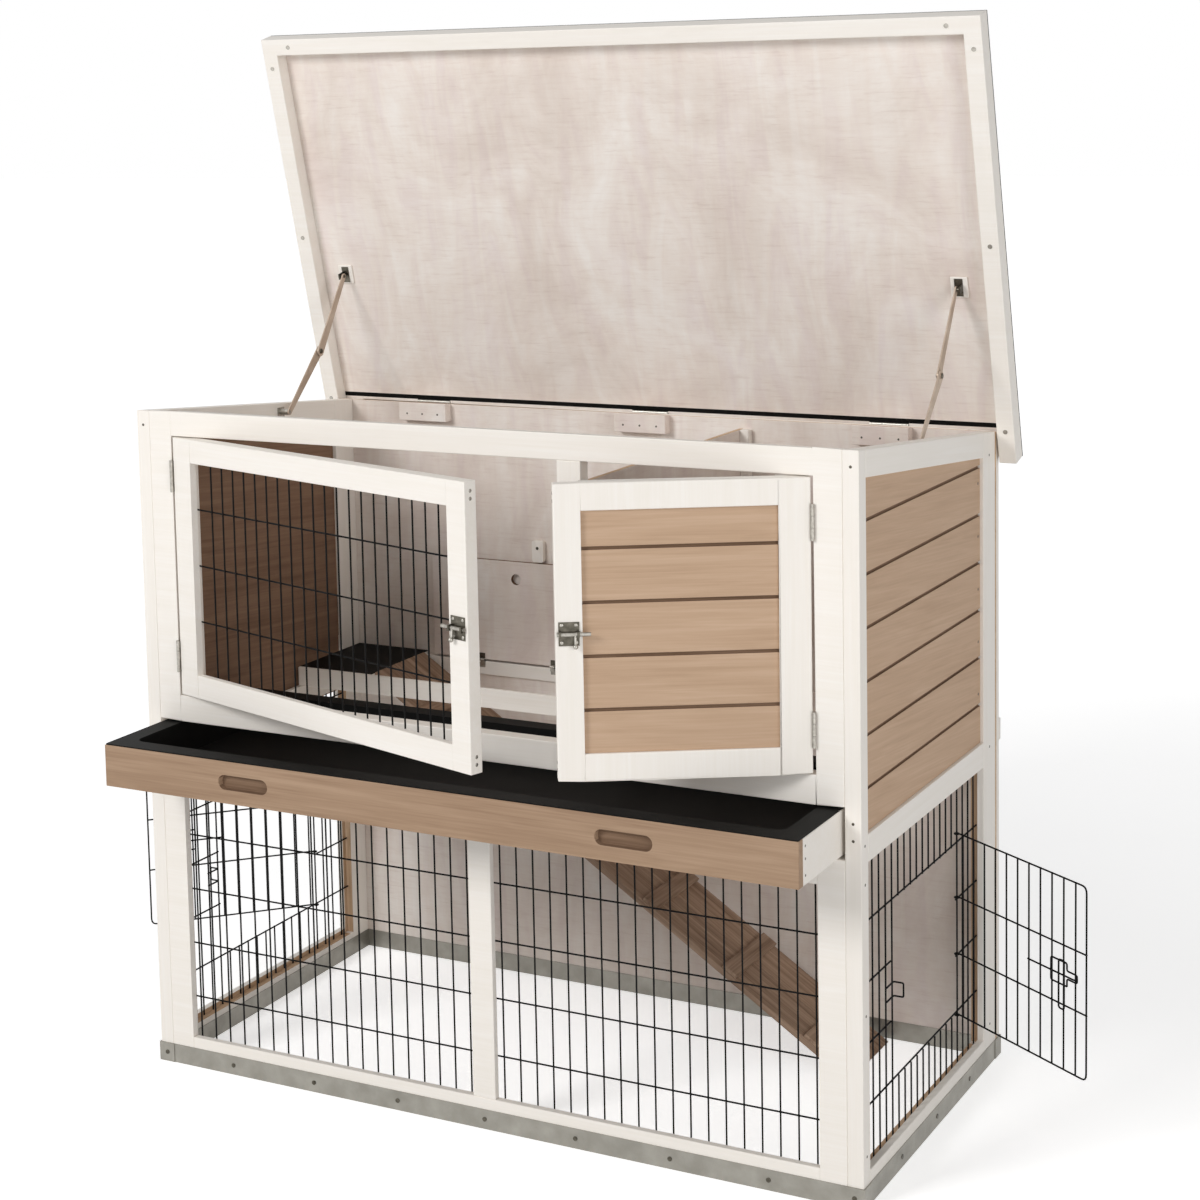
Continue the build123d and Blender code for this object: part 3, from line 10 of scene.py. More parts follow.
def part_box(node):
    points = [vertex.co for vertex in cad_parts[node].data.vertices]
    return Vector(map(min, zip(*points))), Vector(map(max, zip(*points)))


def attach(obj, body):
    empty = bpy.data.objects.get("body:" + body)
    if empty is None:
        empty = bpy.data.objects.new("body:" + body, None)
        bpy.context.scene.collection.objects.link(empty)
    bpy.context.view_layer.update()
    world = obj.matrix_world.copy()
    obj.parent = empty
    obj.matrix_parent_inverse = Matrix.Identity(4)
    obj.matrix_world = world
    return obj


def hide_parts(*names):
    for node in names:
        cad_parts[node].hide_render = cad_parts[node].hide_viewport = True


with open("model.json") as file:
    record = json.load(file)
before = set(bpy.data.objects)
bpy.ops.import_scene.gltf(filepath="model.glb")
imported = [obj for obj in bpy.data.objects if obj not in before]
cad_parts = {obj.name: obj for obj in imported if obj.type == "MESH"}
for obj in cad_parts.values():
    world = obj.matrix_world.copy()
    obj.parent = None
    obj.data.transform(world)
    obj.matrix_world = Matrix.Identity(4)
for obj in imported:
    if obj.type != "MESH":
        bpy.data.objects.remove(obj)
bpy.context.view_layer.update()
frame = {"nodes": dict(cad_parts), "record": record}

MM = 0.001
record = frame["record"]
body_of = {node: body for body, nodes in record["behaviour"]["bodies"].items() for node in nodes}
joint = {j["name"]: j for j in record["behaviour"]["joints"]}
draw = random.Random(7)


# Materials
def colour(text):
    """An sRGB hex colour as linear red, green, blue, alpha."""
    parts = [int(text[i:i + 2], 16) / 255 for i in (1, 3, 5)]
    return [p / 12.92 if p <= 0.04045 else ((p + 0.055) / 1.055) ** 2.4 for p in parts] + [1.0]


def add(tree, kind, links=None, **settings):
    """Adds one node, sets it up, and feeds its inputs with values or other nodes' outputs."""
    made = tree.nodes.new("ShaderNode" + kind)
    for name, value in settings.items():
        setattr(made, name, value)
    for name, value in (links or {}).items():
        if isinstance(value, bpy.types.NodeSocket):
            tree.links.new(value, made.inputs[name])
        else:
            made.inputs[name].default_value = value
    return made


def new_material(name, roughness, metallic=0.0, specular=0.5):
    made = bpy.data.materials.new(name)
    made.use_nodes = True
    shader = made.node_tree.nodes["Principled BSDF"]
    shader.inputs["Roughness"].default_value = roughness
    shader.inputs["Metallic"].default_value = metallic
    shader.inputs["Specular IOR Level"].default_value = specular
    return made, made.node_tree, shader


def ramp(tree, factor, stops):
    made = add(tree, "ValToRGB", {"Fac": factor})
    points = made.color_ramp.elements
    while len(points) < len(stops):
        points.new(0.5)
    for point, (at, shade) in zip(points, stops):
        point.position = at
        point.color = colour(shade)
    return made.outputs["Color"]


def blend(tree, factor, low, high, way="MIX"):
    made = add(tree, "Mix", data_type="RGBA", blend_type=way)
    for name, value in (("Factor", factor), ("A", low), ("B", high)):
        socket = [s for s in made.inputs if s.name == name and (name == "Factor" or s.type == "RGBA")][0]
        if isinstance(value, bpy.types.NodeSocket):
            tree.links.new(value, socket)
        else:
            socket.default_value = value
    return [s for s in made.outputs if s.type == "RGBA"][0]


def grain_coords(tree, along_mm, across_mm):
    """Board coordinates in mm, divided so that one unit is one streak along and across the grain."""
    board = add(tree, "Attribute", attribute_name="grain")
    size = (1 / along_mm, 1 / across_mm, 1 / across_mm)
    scaled = add(tree, "VectorMath", {0: board.outputs["Vector"], 1: size}, operation="MULTIPLY")
    return scaled.outputs["Vector"]


def timber(name, shades, line_mm, roughness, relief_mm, tone):
    """Sawn softwood under a finish: long streaks down each board, a slow drift of tone from board
    to board, and a faint ridge along every streak. Shades run from the dark late wood to the pale."""
    made, tree, shader = new_material(name, roughness, specular=0.3)
    fine = add(tree, "TexNoise", {"Vector": grain_coords(tree, line_mm * 45, line_mm),
                                  "Scale": 1.0, "Detail": 5.0, "Roughness": 0.6, "Distortion": 0.4})
    wide = add(tree, "TexNoise", {"Vector": grain_coords(tree, line_mm * 90, line_mm * 7),
                                  "Scale": 1.0, "Detail": 3.0, "Distortion": 1.2})
    both = add(tree, "Math", {0: fine.outputs["Fac"], 1: wide.outputs["Fac"]}, operation="ADD")
    half = add(tree, "Math", {0: both.outputs[0], 1: 0.5}, operation="MULTIPLY")
    body = ramp(tree, half.outputs[0], [(0.36, shades[0]), (0.50, shades[1]), (0.64, shades[2])])
    board = add(tree, "Attribute", attribute_name="tone")
    spread = add(tree, "MapRange", {"Value": board.outputs["Fac"], "To Min": 1 - tone, "To Max": 1.0})
    grey = add(tree, "CombineColor", {"Red": spread.outputs[0], "Green": spread.outputs[0],
                                      "Blue": spread.outputs[0]})
    final = blend(tree, 1.0, body, grey.outputs[0], "MULTIPLY")
    tree.links.new(final, shader.inputs["Base Color"])
    rough = add(tree, "MapRange", {"Value": fine.outputs["Fac"], "To Min": roughness - 0.08,
                                   "To Max": roughness + 0.1})
    tree.links.new(rough.outputs[0], shader.inputs["Roughness"])
    bump = add(tree, "Bump", {"Height": half.outputs[0], "Strength": 0.5, "Distance": relief_mm * MM})
    tree.links.new(bump.outputs[0], shader.inputs["Normal"])
    return made


def mottled(name, shades, patch_mm, grit_mm, roughness, relief_mm, metallic=0.0):
    """A surface whose look comes from soft patches over fine grit."""
    made, tree, shader = new_material(name, roughness, metallic)
    place = add(tree, "TexCoord").outputs["Object"]
    patch = add(tree, "TexNoise", {"Vector": place, "Scale": 1 / (patch_mm * MM), "Detail": 4.0})
    stops = [(0.25, shades[0]), (0.5, shades[1]), (0.75, shades[2])]
    tree.links.new(ramp(tree, patch.outputs["Fac"], stops), shader.inputs["Base Color"])
    grit = add(tree, "TexNoise", {"Vector": place, "Scale": 1 / (grit_mm * MM), "Detail": 3.0})
    rough = add(tree, "MapRange", {"Value": grit.outputs["Fac"], "To Min": roughness - 0.1,
                                   "To Max": roughness + 0.12})
    tree.links.new(rough.outputs[0], shader.inputs["Roughness"])
    bump = add(tree, "Bump", {"Height": grit.outputs["Fac"], "Strength": 0.4, "Distance": relief_mm * MM})
    tree.links.new(bump.outputs[0], shader.inputs["Normal"])
    return made


def thin_ply():
    """Rotary-cut plywood under a wash of thin paint: pale and cloudy, with pinkish drifts, brush
    marks and a few faint stains."""
    made, tree, shader = new_material("washed_plywood", 0.62, specular=0.3)
    cloud = add(tree, "TexNoise", {"Vector": grain_coords(tree, 180, 210), "Scale": 1.0, "Detail": 6.0,
                                   "Roughness": 0.62, "Distortion": 0.8})
    brush = add(tree, "TexNoise", {"Vector": grain_coords(tree, 45, 240), "Scale": 1.0, "Detail": 5.0,
                                   "Distortion": 1.5})
    fine = add(tree, "TexNoise", {"Vector": grain_coords(tree, 40, 4), "Scale": 1.0, "Detail": 5.0,
                                  "Roughness": 0.65})
    base = ramp(tree, cloud.outputs["Fac"], [(0.34, "#E6DBD2"), (0.5, "#F0E7DF"), (0.64, "#F7F1EB")])
    tint = ramp(tree, brush.outputs["Fac"], [(0.34, "#F5EFF0"), (0.5, "#FBF8F6"), (0.66, "#FFFFFF")])
    pores = ramp(tree, fine.outputs["Fac"], [(0.30, "#E4DAD6"), (0.42, "#F9F6F4"), (0.6, "#FFFFFF")])
    washed = blend(tree, 0.8, base, tint, "MULTIPLY")
    tree.links.new(blend(tree, 0.4, washed, pores, "MULTIPLY"), shader.inputs["Base Color"])
    bump = add(tree, "Bump", {"Height": fine.outputs["Fac"], "Strength": 0.35, "Distance": 0.2 * MM})
    tree.links.new(bump.outputs[0], shader.inputs["Normal"])
    return made


# Water-based white paint, brushed on: a warm even white, with the softwood just showing through
PAINT = timber("white_painted_softwood", ("#F6F0E7", "#F8F2EA", "#FAF5EE"), 3.2, 0.45, 0.02, tone=0.02)
# The faces of the wall boards towards the rooms: the stain darkened as painted shade for the dim inside of the
# hutch, dull and a little uneven
INSIDE_SHADE = timber("shaded_backs_of_boards", ("#7A5E4A", "#876A55", "#92755F"), 3.0, 0.75, 0.1, tone=0.1)
# Taupe stain on planed boards: flat, warm, with a low sheen and faint streaks
STAIN = timber("taupe_stained_boards", ("#BC9D81", "#C5A68A", "#CDAF94"), 3.0, 0.6, 0.06, tone=0.05)
# The same stain in a heavier coat on the drawer's front board
DRAWER = timber("taupe_stained_drawer_board", ("#967A62", "#A2866D", "#AD9178"), 3.0, 0.6, 0.1, tone=0.02)
# Painted shade: a dark, rough brown on the planks' sawn grooves that stands in for the shadow inside each
# groove
GROOVE_SHADE = timber("shadowed_groove", ("#6E5542", "#7E644F", "#8A705B"), 3.0, 0.8, 0.1, tone=0.06)
# Brown stain on the rough boards of the ramp: each batten and board a shade apart
BROWN = timber("brown_stained_softwood", ("#7E6450", "#A08570", "#B89C85"), 3.4, 0.65, 0.2, tone=0.12)
# Cut edges and rebates that no paint reached: pale sawn wood, quite dull
RAW = timber("raw_sawn_softwood", ("#BE9C7B", "#CFAF8F", "#DCC0A2"), 2.6, 0.75, 0.2, tone=0.1)
# Plywood under a wash of thin paint
PLY = thin_ply()
# Welded wire under a thin black plastic coat: near black, hardly shiny
WIRE = mottled("black_coated_wire", ("#030303", "#060606", "#0A0A0A"), 8, 0.9, 0.5, 0.05)
# Hot-dip galvanised sheet: a soft grey metal in cloudy patches, with blurred reflections
GALVANISED = mottled("galvanised_sheet", ("#8A877F", "#96938B", "#A29F97"), 30, 1.6, 0.45, 0.01, 0.8)
# Bright zinc plate on hinges, bolts and screws: pale metal with small tarnished spots
ZINC = mottled("zinc_plated_steel", ("#8F8B83", "#A6A29A", "#BDB9B1"), 5, 0.8, 0.36, 0.03, 1.0)
# Dull nickel plate on bolt housings and brackets: dark metal, sharper highlights
NICKEL = mottled("dull_nickel_plate", ("#46433B", "#5A564D", "#6F6A60"), 6, 0.9, 0.32, 0.03, 1.0)
# Buff lacquer over the pressed steel of the stays: part metal, part paint
STAY = mottled("buff_lacquered_steel", ("#AE9A87", "#BDAA98", "#CCBBAA"), 30, 0.8, 0.38, 0.02, 0.35)
# Vacuum-formed black plastic and rubber: deep black with a broad faint sheen
PLASTIC = mottled("moulded_black_plastic", ("#040403", "#070706", "#0B0A0A"), 30, 0.7, 0.6, 0.06)
# Bitumen roofing felt with mineral grit: nearly black, rough, and speckled. The grit is drawn
# coarser than the real 0.5 mm so that it shows
FELT = mottled("mineral_roofing_felt", ("#242423", "#2F2E2D", "#43423F"), 2.2, 1.1, 0.9, 0.5)
# Both blacks would look grey with the usual share of reflected light
for black in (WIRE, PLASTIC):
    black.node_tree.nodes["Principled BSDF"].inputs["Specular IOR Level"].default_value = 0.12


# Shapes
def own(piece, body, slot=None, *replaced):
    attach(piece, body)
    if replaced:
        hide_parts(*replaced)
    return piece


def put(name, mesh, materials):
    made = bpy.data.objects.new(name, mesh)
    bpy.context.collection.objects.link(made)
    for material in materials:
        mesh.materials.append(material)
    return made


def islands(bm):
    """The separate boards of a mesh, each as a list of faces."""
    left = set(bm.faces)
    found = []
    for face in bm.faces:
        if face not in left:
            continue
        left.discard(face)
        group, queue = [], [face]
        while queue:
            now = queue.pop()
            group.append(now)
            for edge in now.edges:
                for other in edge.link_faces:
                    if other in left:
                        left.discard(other)
                        queue.append(other)
        found.append(group)
    return found


def board_axes(faces):
    """Along, across and through a board: its longest edge, and the normal of its largest face."""
    longest = max((e for f in faces for e in f.edges), key=lambda e: round(e.calc_length(), 6))
    along = (longest.verts[1].co - longest.verts[0].co).normalized()
    if max(along, key=abs) < 0:
        along.negate()
    flat = max(faces, key=lambda f: round(f.calc_area(), 9) * (abs(f.normal.dot(along)) < 0.1))
    through = flat.normal.copy()
    return along, through.cross(along), through


def depths(face, through):
    steps = [v.co.dot(through) for v in face.verts]
    return min(steps), max(steps)


def cut_faces(faces, axes):
    """The faces of a board that lie in a groove or rebate, or under its thickness."""
    along, across, through = axes
    low = min(depths(f, through)[0] for f in faces) + 0.5 * MM
    high = max(depths(f, through)[1] for f in faces) - 0.5 * MM
    floors = [f for f in faces if abs(f.normal.dot(through)) > 0.9 and low < depths(f, through)[0] < high]
    found = set(floors)
    for face in faces:
        if abs(face.normal.dot(through)) > 0.1 or abs(face.normal.dot(along)) > 0.9:
            continue
        bottom, top = depths(face, through)
        if bottom < low and top > high:
            continue
        for floor in floors:
            level, way = depths(floor, through)[0], floor.normal.dot(through)
            if ((bottom + top) / 2 - level) * way > 0:
                found.add(face)
    return found


def inner_faces(faces, axes):
    """The side of a wall board that faces the rooms."""
    side = sum(v.co.x for f in faces for v in f.verts)
    return {f for f in faces if abs(f.normal.x) > 0.7 and f.normal.x * side < 0}


def sawn_edges(faces, axes):
    return {f for f in faces if abs(f.normal.dot(axes[2])) < 0.5}


def boards(node, materials, slot, bevel_mm=1.2, *picks):
    """Stands for a CAD node made of boards: the same boards with eased edges, and grain that
    runs along each one."""
    bm = bmesh.new()
    bm.from_mesh(frame["nodes"][node].data)
    bmesh.ops.remove_doubles(bm, verts=bm.verts, dist=1e-6)
    bmesh.ops.dissolve_limit(bm, angle_limit=radians(0.5), verts=bm.verts, edges=bm.edges)
    grain = bm.verts.layers.float_vector.new("grain")
    tone = bm.verts.layers.float.new("tone")
    for faces in islands(bm):
        axes = board_axes(faces)
        shift = Vector([draw.uniform(0, 5000) for _ in range(3)])
        shade = draw.random()
        for vert in {v for f in faces for v in f.verts}:
            vert[grain] = Vector([vert.co.dot(a) / MM for a in axes]) + shift
            vert[tone] = shade
        for number, pick in enumerate(picks, 1):
            for face in pick(faces, axes):
                face.material_index = number
    mesh = bpy.data.meshes.new(node + "_boards")
    bm.to_mesh(mesh)
    bm.free()
    made = put(node + "_boards", mesh, materials)
    eased = made.modifiers.new("eased_edges", "BEVEL")
    eased.width = bevel_mm * MM
    eased.segments = 2
    eased.limit_method = "ANGLE"
    eased.angle_limit = radians(35)
    return own(made, body_of[node], slot, node)


def rounded(points, radius, steps=4):
    """A bent path whose corners are turned with this radius."""
    points = [Vector(p) for p in points]
    path = [points[0]]
    for before, corner, after in zip(points, points[1:], points[2:]):
        to, away = (before - corner).normalized(), (after - corner).normalized()
        cut = min(radius, (before - corner).length * 0.45, (after - corner).length * 0.45)
        for k in range(steps + 1):
            t = k / steps
            path.append((corner + to * cut) * (1 - t) ** 2 + corner * 2 * t * (1 - t)
                        + (corner + away * cut) * t ** 2)
    return path + [points[-1]]


def wires(name, paths, radius_mm, body, place, *replaced, material=None, slot="black_wire"):
    """Round wire along each path. Paths are in mm and place turns them into the hutch's frame."""
    data = bpy.data.curves.new(name, "CURVE")
    data.dimensions = "3D"
    data.bevel_depth = radius_mm * MM
    data.bevel_resolution = 2
    data.use_fill_caps = True
    for path in paths:
        spline = data.splines.new("POLY")
        spline.points.add(len(path) - 1)
        for point, at in zip(spline.points, path):
            point.co = (*(place @ Vector(at) * MM), 1)
    made = bpy.data.objects.new(name, data)
    bpy.context.collection.objects.link(made)
    data.materials.append(material or WIRE)
    return own(made, body, slot, *replaced)


def heads(name, spots, radius_mm, rise_mm, body, material, slot):
    """Domed screw or nail heads. Each spot is a place in mm and the way that it faces."""
    bm = bmesh.new()
    rings, sides = 3, 12
    for at, facing in spots:
        facing = Vector(facing).normalized()
        one = facing.orthogonal().normalized()
        two = facing.cross(one)
        loops = []
        for k in range(rings + 1):
            a = k / (rings + 0.4) * pi / 2
            loops.append([bm.verts.new((Vector(at) + facing * (rise_mm * sin(a))
                                        + (one * cos(s) + two * sin(s)) * radius_mm * cos(a)) * MM)
                          for s in [2 * pi * n / sides for n in range(sides)]])
        base = [bm.verts.new((Vector(at) - facing * 0.4) * MM + (v.co - Vector(at) * MM)) for v in loops[0]]
        loops.insert(0, base)
        for low, high in zip(loops, loops[1:]):
            for n in range(sides):
                bm.faces.new((low[n], low[(n + 1) % sides], high[(n + 1) % sides], high[n]))
        bm.faces.new(loops[-1])
        bm.faces.new(loops[0][::-1])
    bmesh.ops.recalc_face_normals(bm, faces=bm.faces)
    mesh = bpy.data.meshes.new(name)
    bm.to_mesh(mesh)
    bm.free()
    for face in mesh.polygons:
        face.use_smooth = len(face.vertices) == 4
    return own(put(name, mesh, [material]), body, slot)


def turned(axis_x, axis_y, angle, flip=1):
    """From a leaf drawn shut, with flip -1 for the left-hand side, to where it stands at rest."""
    hinge = Matrix.Translation((axis_x, axis_y, 0)) @ Matrix.Rotation(radians(angle), 4, "Z")
    return Matrix.Scale(flip, 4, (1, 0, 0)) @ hinge @ Matrix.Translation((-axis_x, -axis_y, 0))


HERE = Matrix.Identity(4)
MIRROR = Matrix.Scale(-1, 4, (1, 0, 0))

# Wood
for node in ("side_posts", "side_rails", "lower_front_frame", "mesh_door_frame"):
    boards(node, [PAINT, RAW], "painted_timber", 1.2, cut_faces)
for node in ("upper_front_frame", "back_frame", "partition_battens", "drawer_runners",
             "drawer_sides", "roof_rails", "plank_door_frame", "floor_rails", "platform_board",
             "hatch_button", "stay_pads"):
    boards(node, [PAINT], "painted_timber")
# On the side planks, the grooves take painted shade, and so do the faces towards the rooms, as a darkened stain
for node in ("right_side_planks", "left_side_planks"):
    boards(node, [STAIN, GROOVE_SHADE, INSIDE_SHADE], "stained_planks", 0.8, cut_faces, inner_faces)
# The grooves of the door planks and the drawer front take painted shade
boards("plank_door_planks", [STAIN, GROOVE_SHADE], "stained_planks", 0.8, cut_faces)
boards("drawer_front", [DRAWER, GROOVE_SHADE], "stained_planks", 1.0, cut_faces)
for node in ("ramp_boards", "ramp_cleats"):
    boards(node, [BROWN], "bare_timber", 1.0)
for node in ("back_panels", "roof_panel", "partition_panel", "rear_floor_boards"):
    boards(node, [PLY, RAW], "plywood", 0.5, sawn_edges)
boards("hinge_blocks", [PLY], "painted_timber", 1.0)
# The hatch's cut edges take the dark groove colour: brown like the other ply edges, and darker still as painted
# shade so that the edge shows as a line
boards("hatch_board", [PLY, GROOVE_SHADE], "plywood", 0.5, sawn_edges)

# Carried-over metal, plastic and felt
for names, material in ((("base_edging",), GALVANISED),
                        (("drawer_tray", "platform_mat", "roof_sealing_strip"), PLASTIC),
                        (("roof_felt",), FELT),
                        (("roof_hinge_fixed_leaves", "roof_hinge_moving_leaves", "hinge_fixed_leaves",
                          "mesh_door_hinge_leaves", "plank_door_hinge_leaves", "mesh_door_bolt",
                          "plank_door_bolt", "roof_screws", "stay_side_brackets"), ZINC),
                        (("mesh_door_bolt_housing", "plank_door_bolt_housing", "bolt_keepers",
                          "hatch_hinge_leaves", "stay_roof_brackets", "edging_screws"), NICKEL),
                        (("right_stay_lower_arm", "right_stay_upper_arm", "left_stay_lower_arm",
                          "left_stay_upper_arm"), STAY)):
    for node in names:
        mesh = frame["nodes"][node].data
        mesh.materials.clear()
        mesh.materials.append(material)

# Welded wire, in mm. Level wires lie LEVEL_SET behind the uprights.
WIRE_R = 1.25
LEVEL_SET = 2.0
WIRE_PITCH = 25.4
CELL_H = 81.4
PANEL_Y = 11.8


def extent(node, axis):
    return tuple(corner[axis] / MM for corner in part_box(node))


def grid(uprights, levels, plane, inward):
    """Uprights as (x, low, high) and levels as (z, left, right), on a plane of constant y."""
    paths = [[(x, plane, low), (x, plane, high)] for x, low, high in uprights]
    return paths + [[(left, plane + inward, z), (right, plane + inward, z)] for z, left, right in levels]


FRONT_FIRST_X = 26.2
FRONT_TOP_LEVEL = 346
low, high = extent("right_front_mesh", 2)
left, right = extent("right_front_mesh", 0)
front = grid([(FRONT_FIRST_X + WIRE_PITCH * k, low, high) for k in range(19)],
             [(FRONT_TOP_LEVEL - CELL_H * k, left, right) for k in range(4)], PANEL_Y, LEVEL_SET)
wires("right_front_wires", front, WIRE_R, "root", HERE, "right_front_mesh")
wires("left_front_wires", front, WIRE_R, "root", MIRROR, "left_front_mesh")

# The sides: drawn as a front panel, x standing for y, then turned a quarter round
SIDE_X = 538.2
SIDE_PITCH = 23.8
SIDE_FIRST_Y = 42.7
SIDE_LOW, SIDE_HIGH = 37.3, 452.7
SIDE_FRONT, SIDE_REAR = 17.3, 490.7
GATE_SILL, GATE_HEAD = 114.4, 358.6
LOCK_Y = 137.9
HINGE_Y = 399.7
uprights, levels = [], []
for k in range(19):
    y = SIDE_FIRST_Y + SIDE_PITCH * k
    if 4 < k < 15:
        uprights += [(y, SIDE_LOW, GATE_SILL), (y, GATE_HEAD, SIDE_HIGH)]
    else:
        uprights.append((y, SIDE_LOW, SIDE_HIGH))
for k in range(-1, 4):
    z = GATE_HEAD - CELL_H * k
    if k in (1, 2):
        levels += [(z, SIDE_FRONT, LOCK_Y), (z, HINGE_Y, SIDE_REAR)]
    else:
        levels.append((z, SIDE_FRONT, SIDE_REAR))
side = [[(SIDE_X - b, a, c) for a, b, c in path] for path in grid(uprights, levels, 0, LEVEL_SET)]

# The bent catch that the latch's nose goes into
LATCH_Z = 240.0
CATCH_Y = LOCK_Y + 2.2
CATCH_BACK = CATCH_Y - 26
CATCH_NEAR, CATCH_FAR = SIDE_X + 1.1, SIDE_X + 14.9
CATCH_TOP, CATCH_FOOT = LATCH_Z + 9.5, LATCH_Z - 9.5
catch = [(CATCH_NEAR, CATCH_BACK, CATCH_TOP), (CATCH_NEAR, CATCH_Y, CATCH_TOP),
         (CATCH_FAR, CATCH_Y, CATCH_TOP), (CATCH_FAR, CATCH_Y, CATCH_FOOT),
         (CATCH_NEAR, CATCH_Y, CATCH_FOOT), (CATCH_NEAR, CATCH_BACK, CATCH_FOOT)]
side.append(rounded(catch, 2.5))
wires("right_side_wires", side, WIRE_R, "root", HERE, "right_side_mesh")
wires("left_side_wires", side, WIRE_R, "root", MIRROR, "left_side_mesh")

# The mesh door's panel, drawn with the door shut
DOOR_EDGE = 488.5
PANEL_LEFT, PANEL_RIGHT = 33.3 - DOOR_EDGE, 590.7 - DOOR_EDGE
PANEL_LOW, PANEL_HIGH = 586.3, 906.2
PANEL_FIRST_X = 73 - DOOR_EDGE
PANEL_TOP_LEVEL = 831
mesh_rest = -joint["mesh_door_hinge"]["range_deg"][0]
mesh_pin = [v / MM for v in joint["mesh_door_hinge"]["pos_m"]]
mesh_door_place = turned(mesh_pin[0], mesh_pin[1], -mesh_rest)
panel = grid([(PANEL_FIRST_X + WIRE_PITCH * k, PANEL_LOW, PANEL_HIGH) for k in range(21)],
             [(PANEL_TOP_LEVEL - CELL_H * k, PANEL_LEFT, PANEL_RIGHT) for k in range(3)],
             PANEL_Y, LEVEL_SET)
wires("mesh_door_wires", panel, WIRE_R, "mesh_door", mesh_door_place, "mesh_door_mesh")

# Gates, with their eyes round the rear wire of the opening
GATE_X = SIDE_X + 2.6
GATE_W = 266.0
GATE_LAST_Y = HINGE_Y - 8
GATE_END_Y = HINGE_Y - 4
GATE_CORNER_R = 9
EYE_R = 3.1
gate_levels = [GATE_HEAD + 14.0, GATE_HEAD - CELL_H + 4.0, GATE_HEAD - 2 * CELL_H + 3.8, GATE_SILL - 3.4]
top, foot = gate_levels[0], gate_levels[-1]
step = (GATE_W - 8) / 11
free = HINGE_Y - GATE_W
gate = [[(GATE_X + LEVEL_SET, GATE_LAST_Y - step * k, foot), (GATE_X + LEVEL_SET, GATE_LAST_Y - step * k, top)]
        for k in (*range(1, 11), 0)]


def eye(z, turns):
    """Points of a wire closed round the hinge wire, at these angles."""
    return [(SIDE_X + EYE_R * sin(a), HINGE_Y + EYE_R * cos(a), z) for a in turns]


for z in gate_levels[1:3]:
    gate.append([(GATE_X, free - 1.1, z), (GATE_X, GATE_END_Y, z)] + eye(z, (pi * 0.84, pi)))
gate.append(rounded([(GATE_X, GATE_END_Y, top), (GATE_X, free, top), (GATE_X, free, foot),
                     (GATE_X, GATE_END_Y, foot)], GATE_CORNER_R))
for z in gate_levels:
    gate.append(eye(z, [2 * pi * n / 14 for n in range(15)]))
gate.append([(GATE_X, GATE_LAST_Y - step * 10, LATCH_Z), (GATE_X, GATE_LAST_Y - step * 6, LATCH_Z)])

# The latch: a loop with a nose, and a long pull bent round it
LATCH_X = GATE_X + 4.3
LOOP_TOP, LOOP_FOOT = LATCH_Z + 15.9, LATCH_Z - 15.9
NOSE_TOP, NOSE_FOOT = LATCH_Z + 5.5, LATCH_Z - 5.5
nose, shoulder, tail = free + 23, free + 43, free + 75
latch = [rounded([(LATCH_X, shoulder, LATCH_Z - 16), (LATCH_X, shoulder, NOSE_FOOT),
                  (LATCH_X, nose, NOSE_FOOT), (LATCH_X, nose, NOSE_TOP),
                  (LATCH_X, shoulder, NOSE_TOP), (LATCH_X, shoulder, LOOP_TOP),
                  (LATCH_X, tail, LOOP_TOP), (LATCH_X, tail, LOOP_FOOT),
                  (LATCH_X, shoulder + 0.5, LOOP_FOOT)], 3)]
PULL_X = LATCH_X + 2
PULL_TOP, PULL_FOOT = LATCH_Z + 16, LATCH_Z - 50.9
pull = shoulder + 8
latch.append(rounded([(PULL_X, pull, PULL_TOP), (PULL_X, pull, PULL_FOOT), (PULL_X, pull + 11, PULL_FOOT),
                      (PULL_X, pull + 11, PULL_TOP), (PULL_X, pull + 0.5, PULL_TOP)], 4))
for side_name, flip in (("right", 1), ("left", -1)):
    rest = -joint[side_name + "_gate_hinge"]["range_deg"][0]
    place = turned(SIDE_X, HINGE_Y, rest, flip)
    wires(side_name + "_gate_wires", gate, WIRE_R, side_name + "_gate", place, side_name + "_gate")
    wires(side_name + "_gate_latch_wire", latch, WIRE_R, side_name + "_gate_latch", place,
          side_name + "_gate_latch")

# Screws in the bolt plates and the frames' ends, drawn with the doors shut
BOLT_Z = 746
PLATE_HALF = 17
MESH_DOOR_FREE = 618 - DOOR_EDGE
PLANK_DOOR_FREE = DOOR_EDGE - 319
plank_rest = -joint["plank_door_hinge"]["range_deg"][0]
plank_pin = [v / MM for v in joint["plank_door_hinge"]["pos_m"]]
plank_door_place = turned(plank_pin[0], plank_pin[1], plank_rest)
for door, place, edge, way in (("mesh_door", mesh_door_place, MESH_DOOR_FREE, 1),
                               ("plank_door", plank_door_place, PLANK_DOOR_FREE, -1)):
    turn = place.to_3x3()
    mid = edge - way * PLATE_HALF
    spots = [(place @ Vector((mid + dx, -1, BOLT_Z + dz)), turn @ Vector((0, -1, 0)))
             for dx in (-9, 9) for dz in (-11, 11)]
    heads(door + "_bolt_screws", spots, 2.4, 0.9, door, ZINC, "zinc_hardware")
    spots = [(place @ Vector((edge, 10, z)), turn @ Vector((way, 0, 0))) for z in (571, 581, 911, 921)]
    heads(door + "_frame_screws", spots, 2.6, 0.4, door, ZINC, "zinc_hardware")

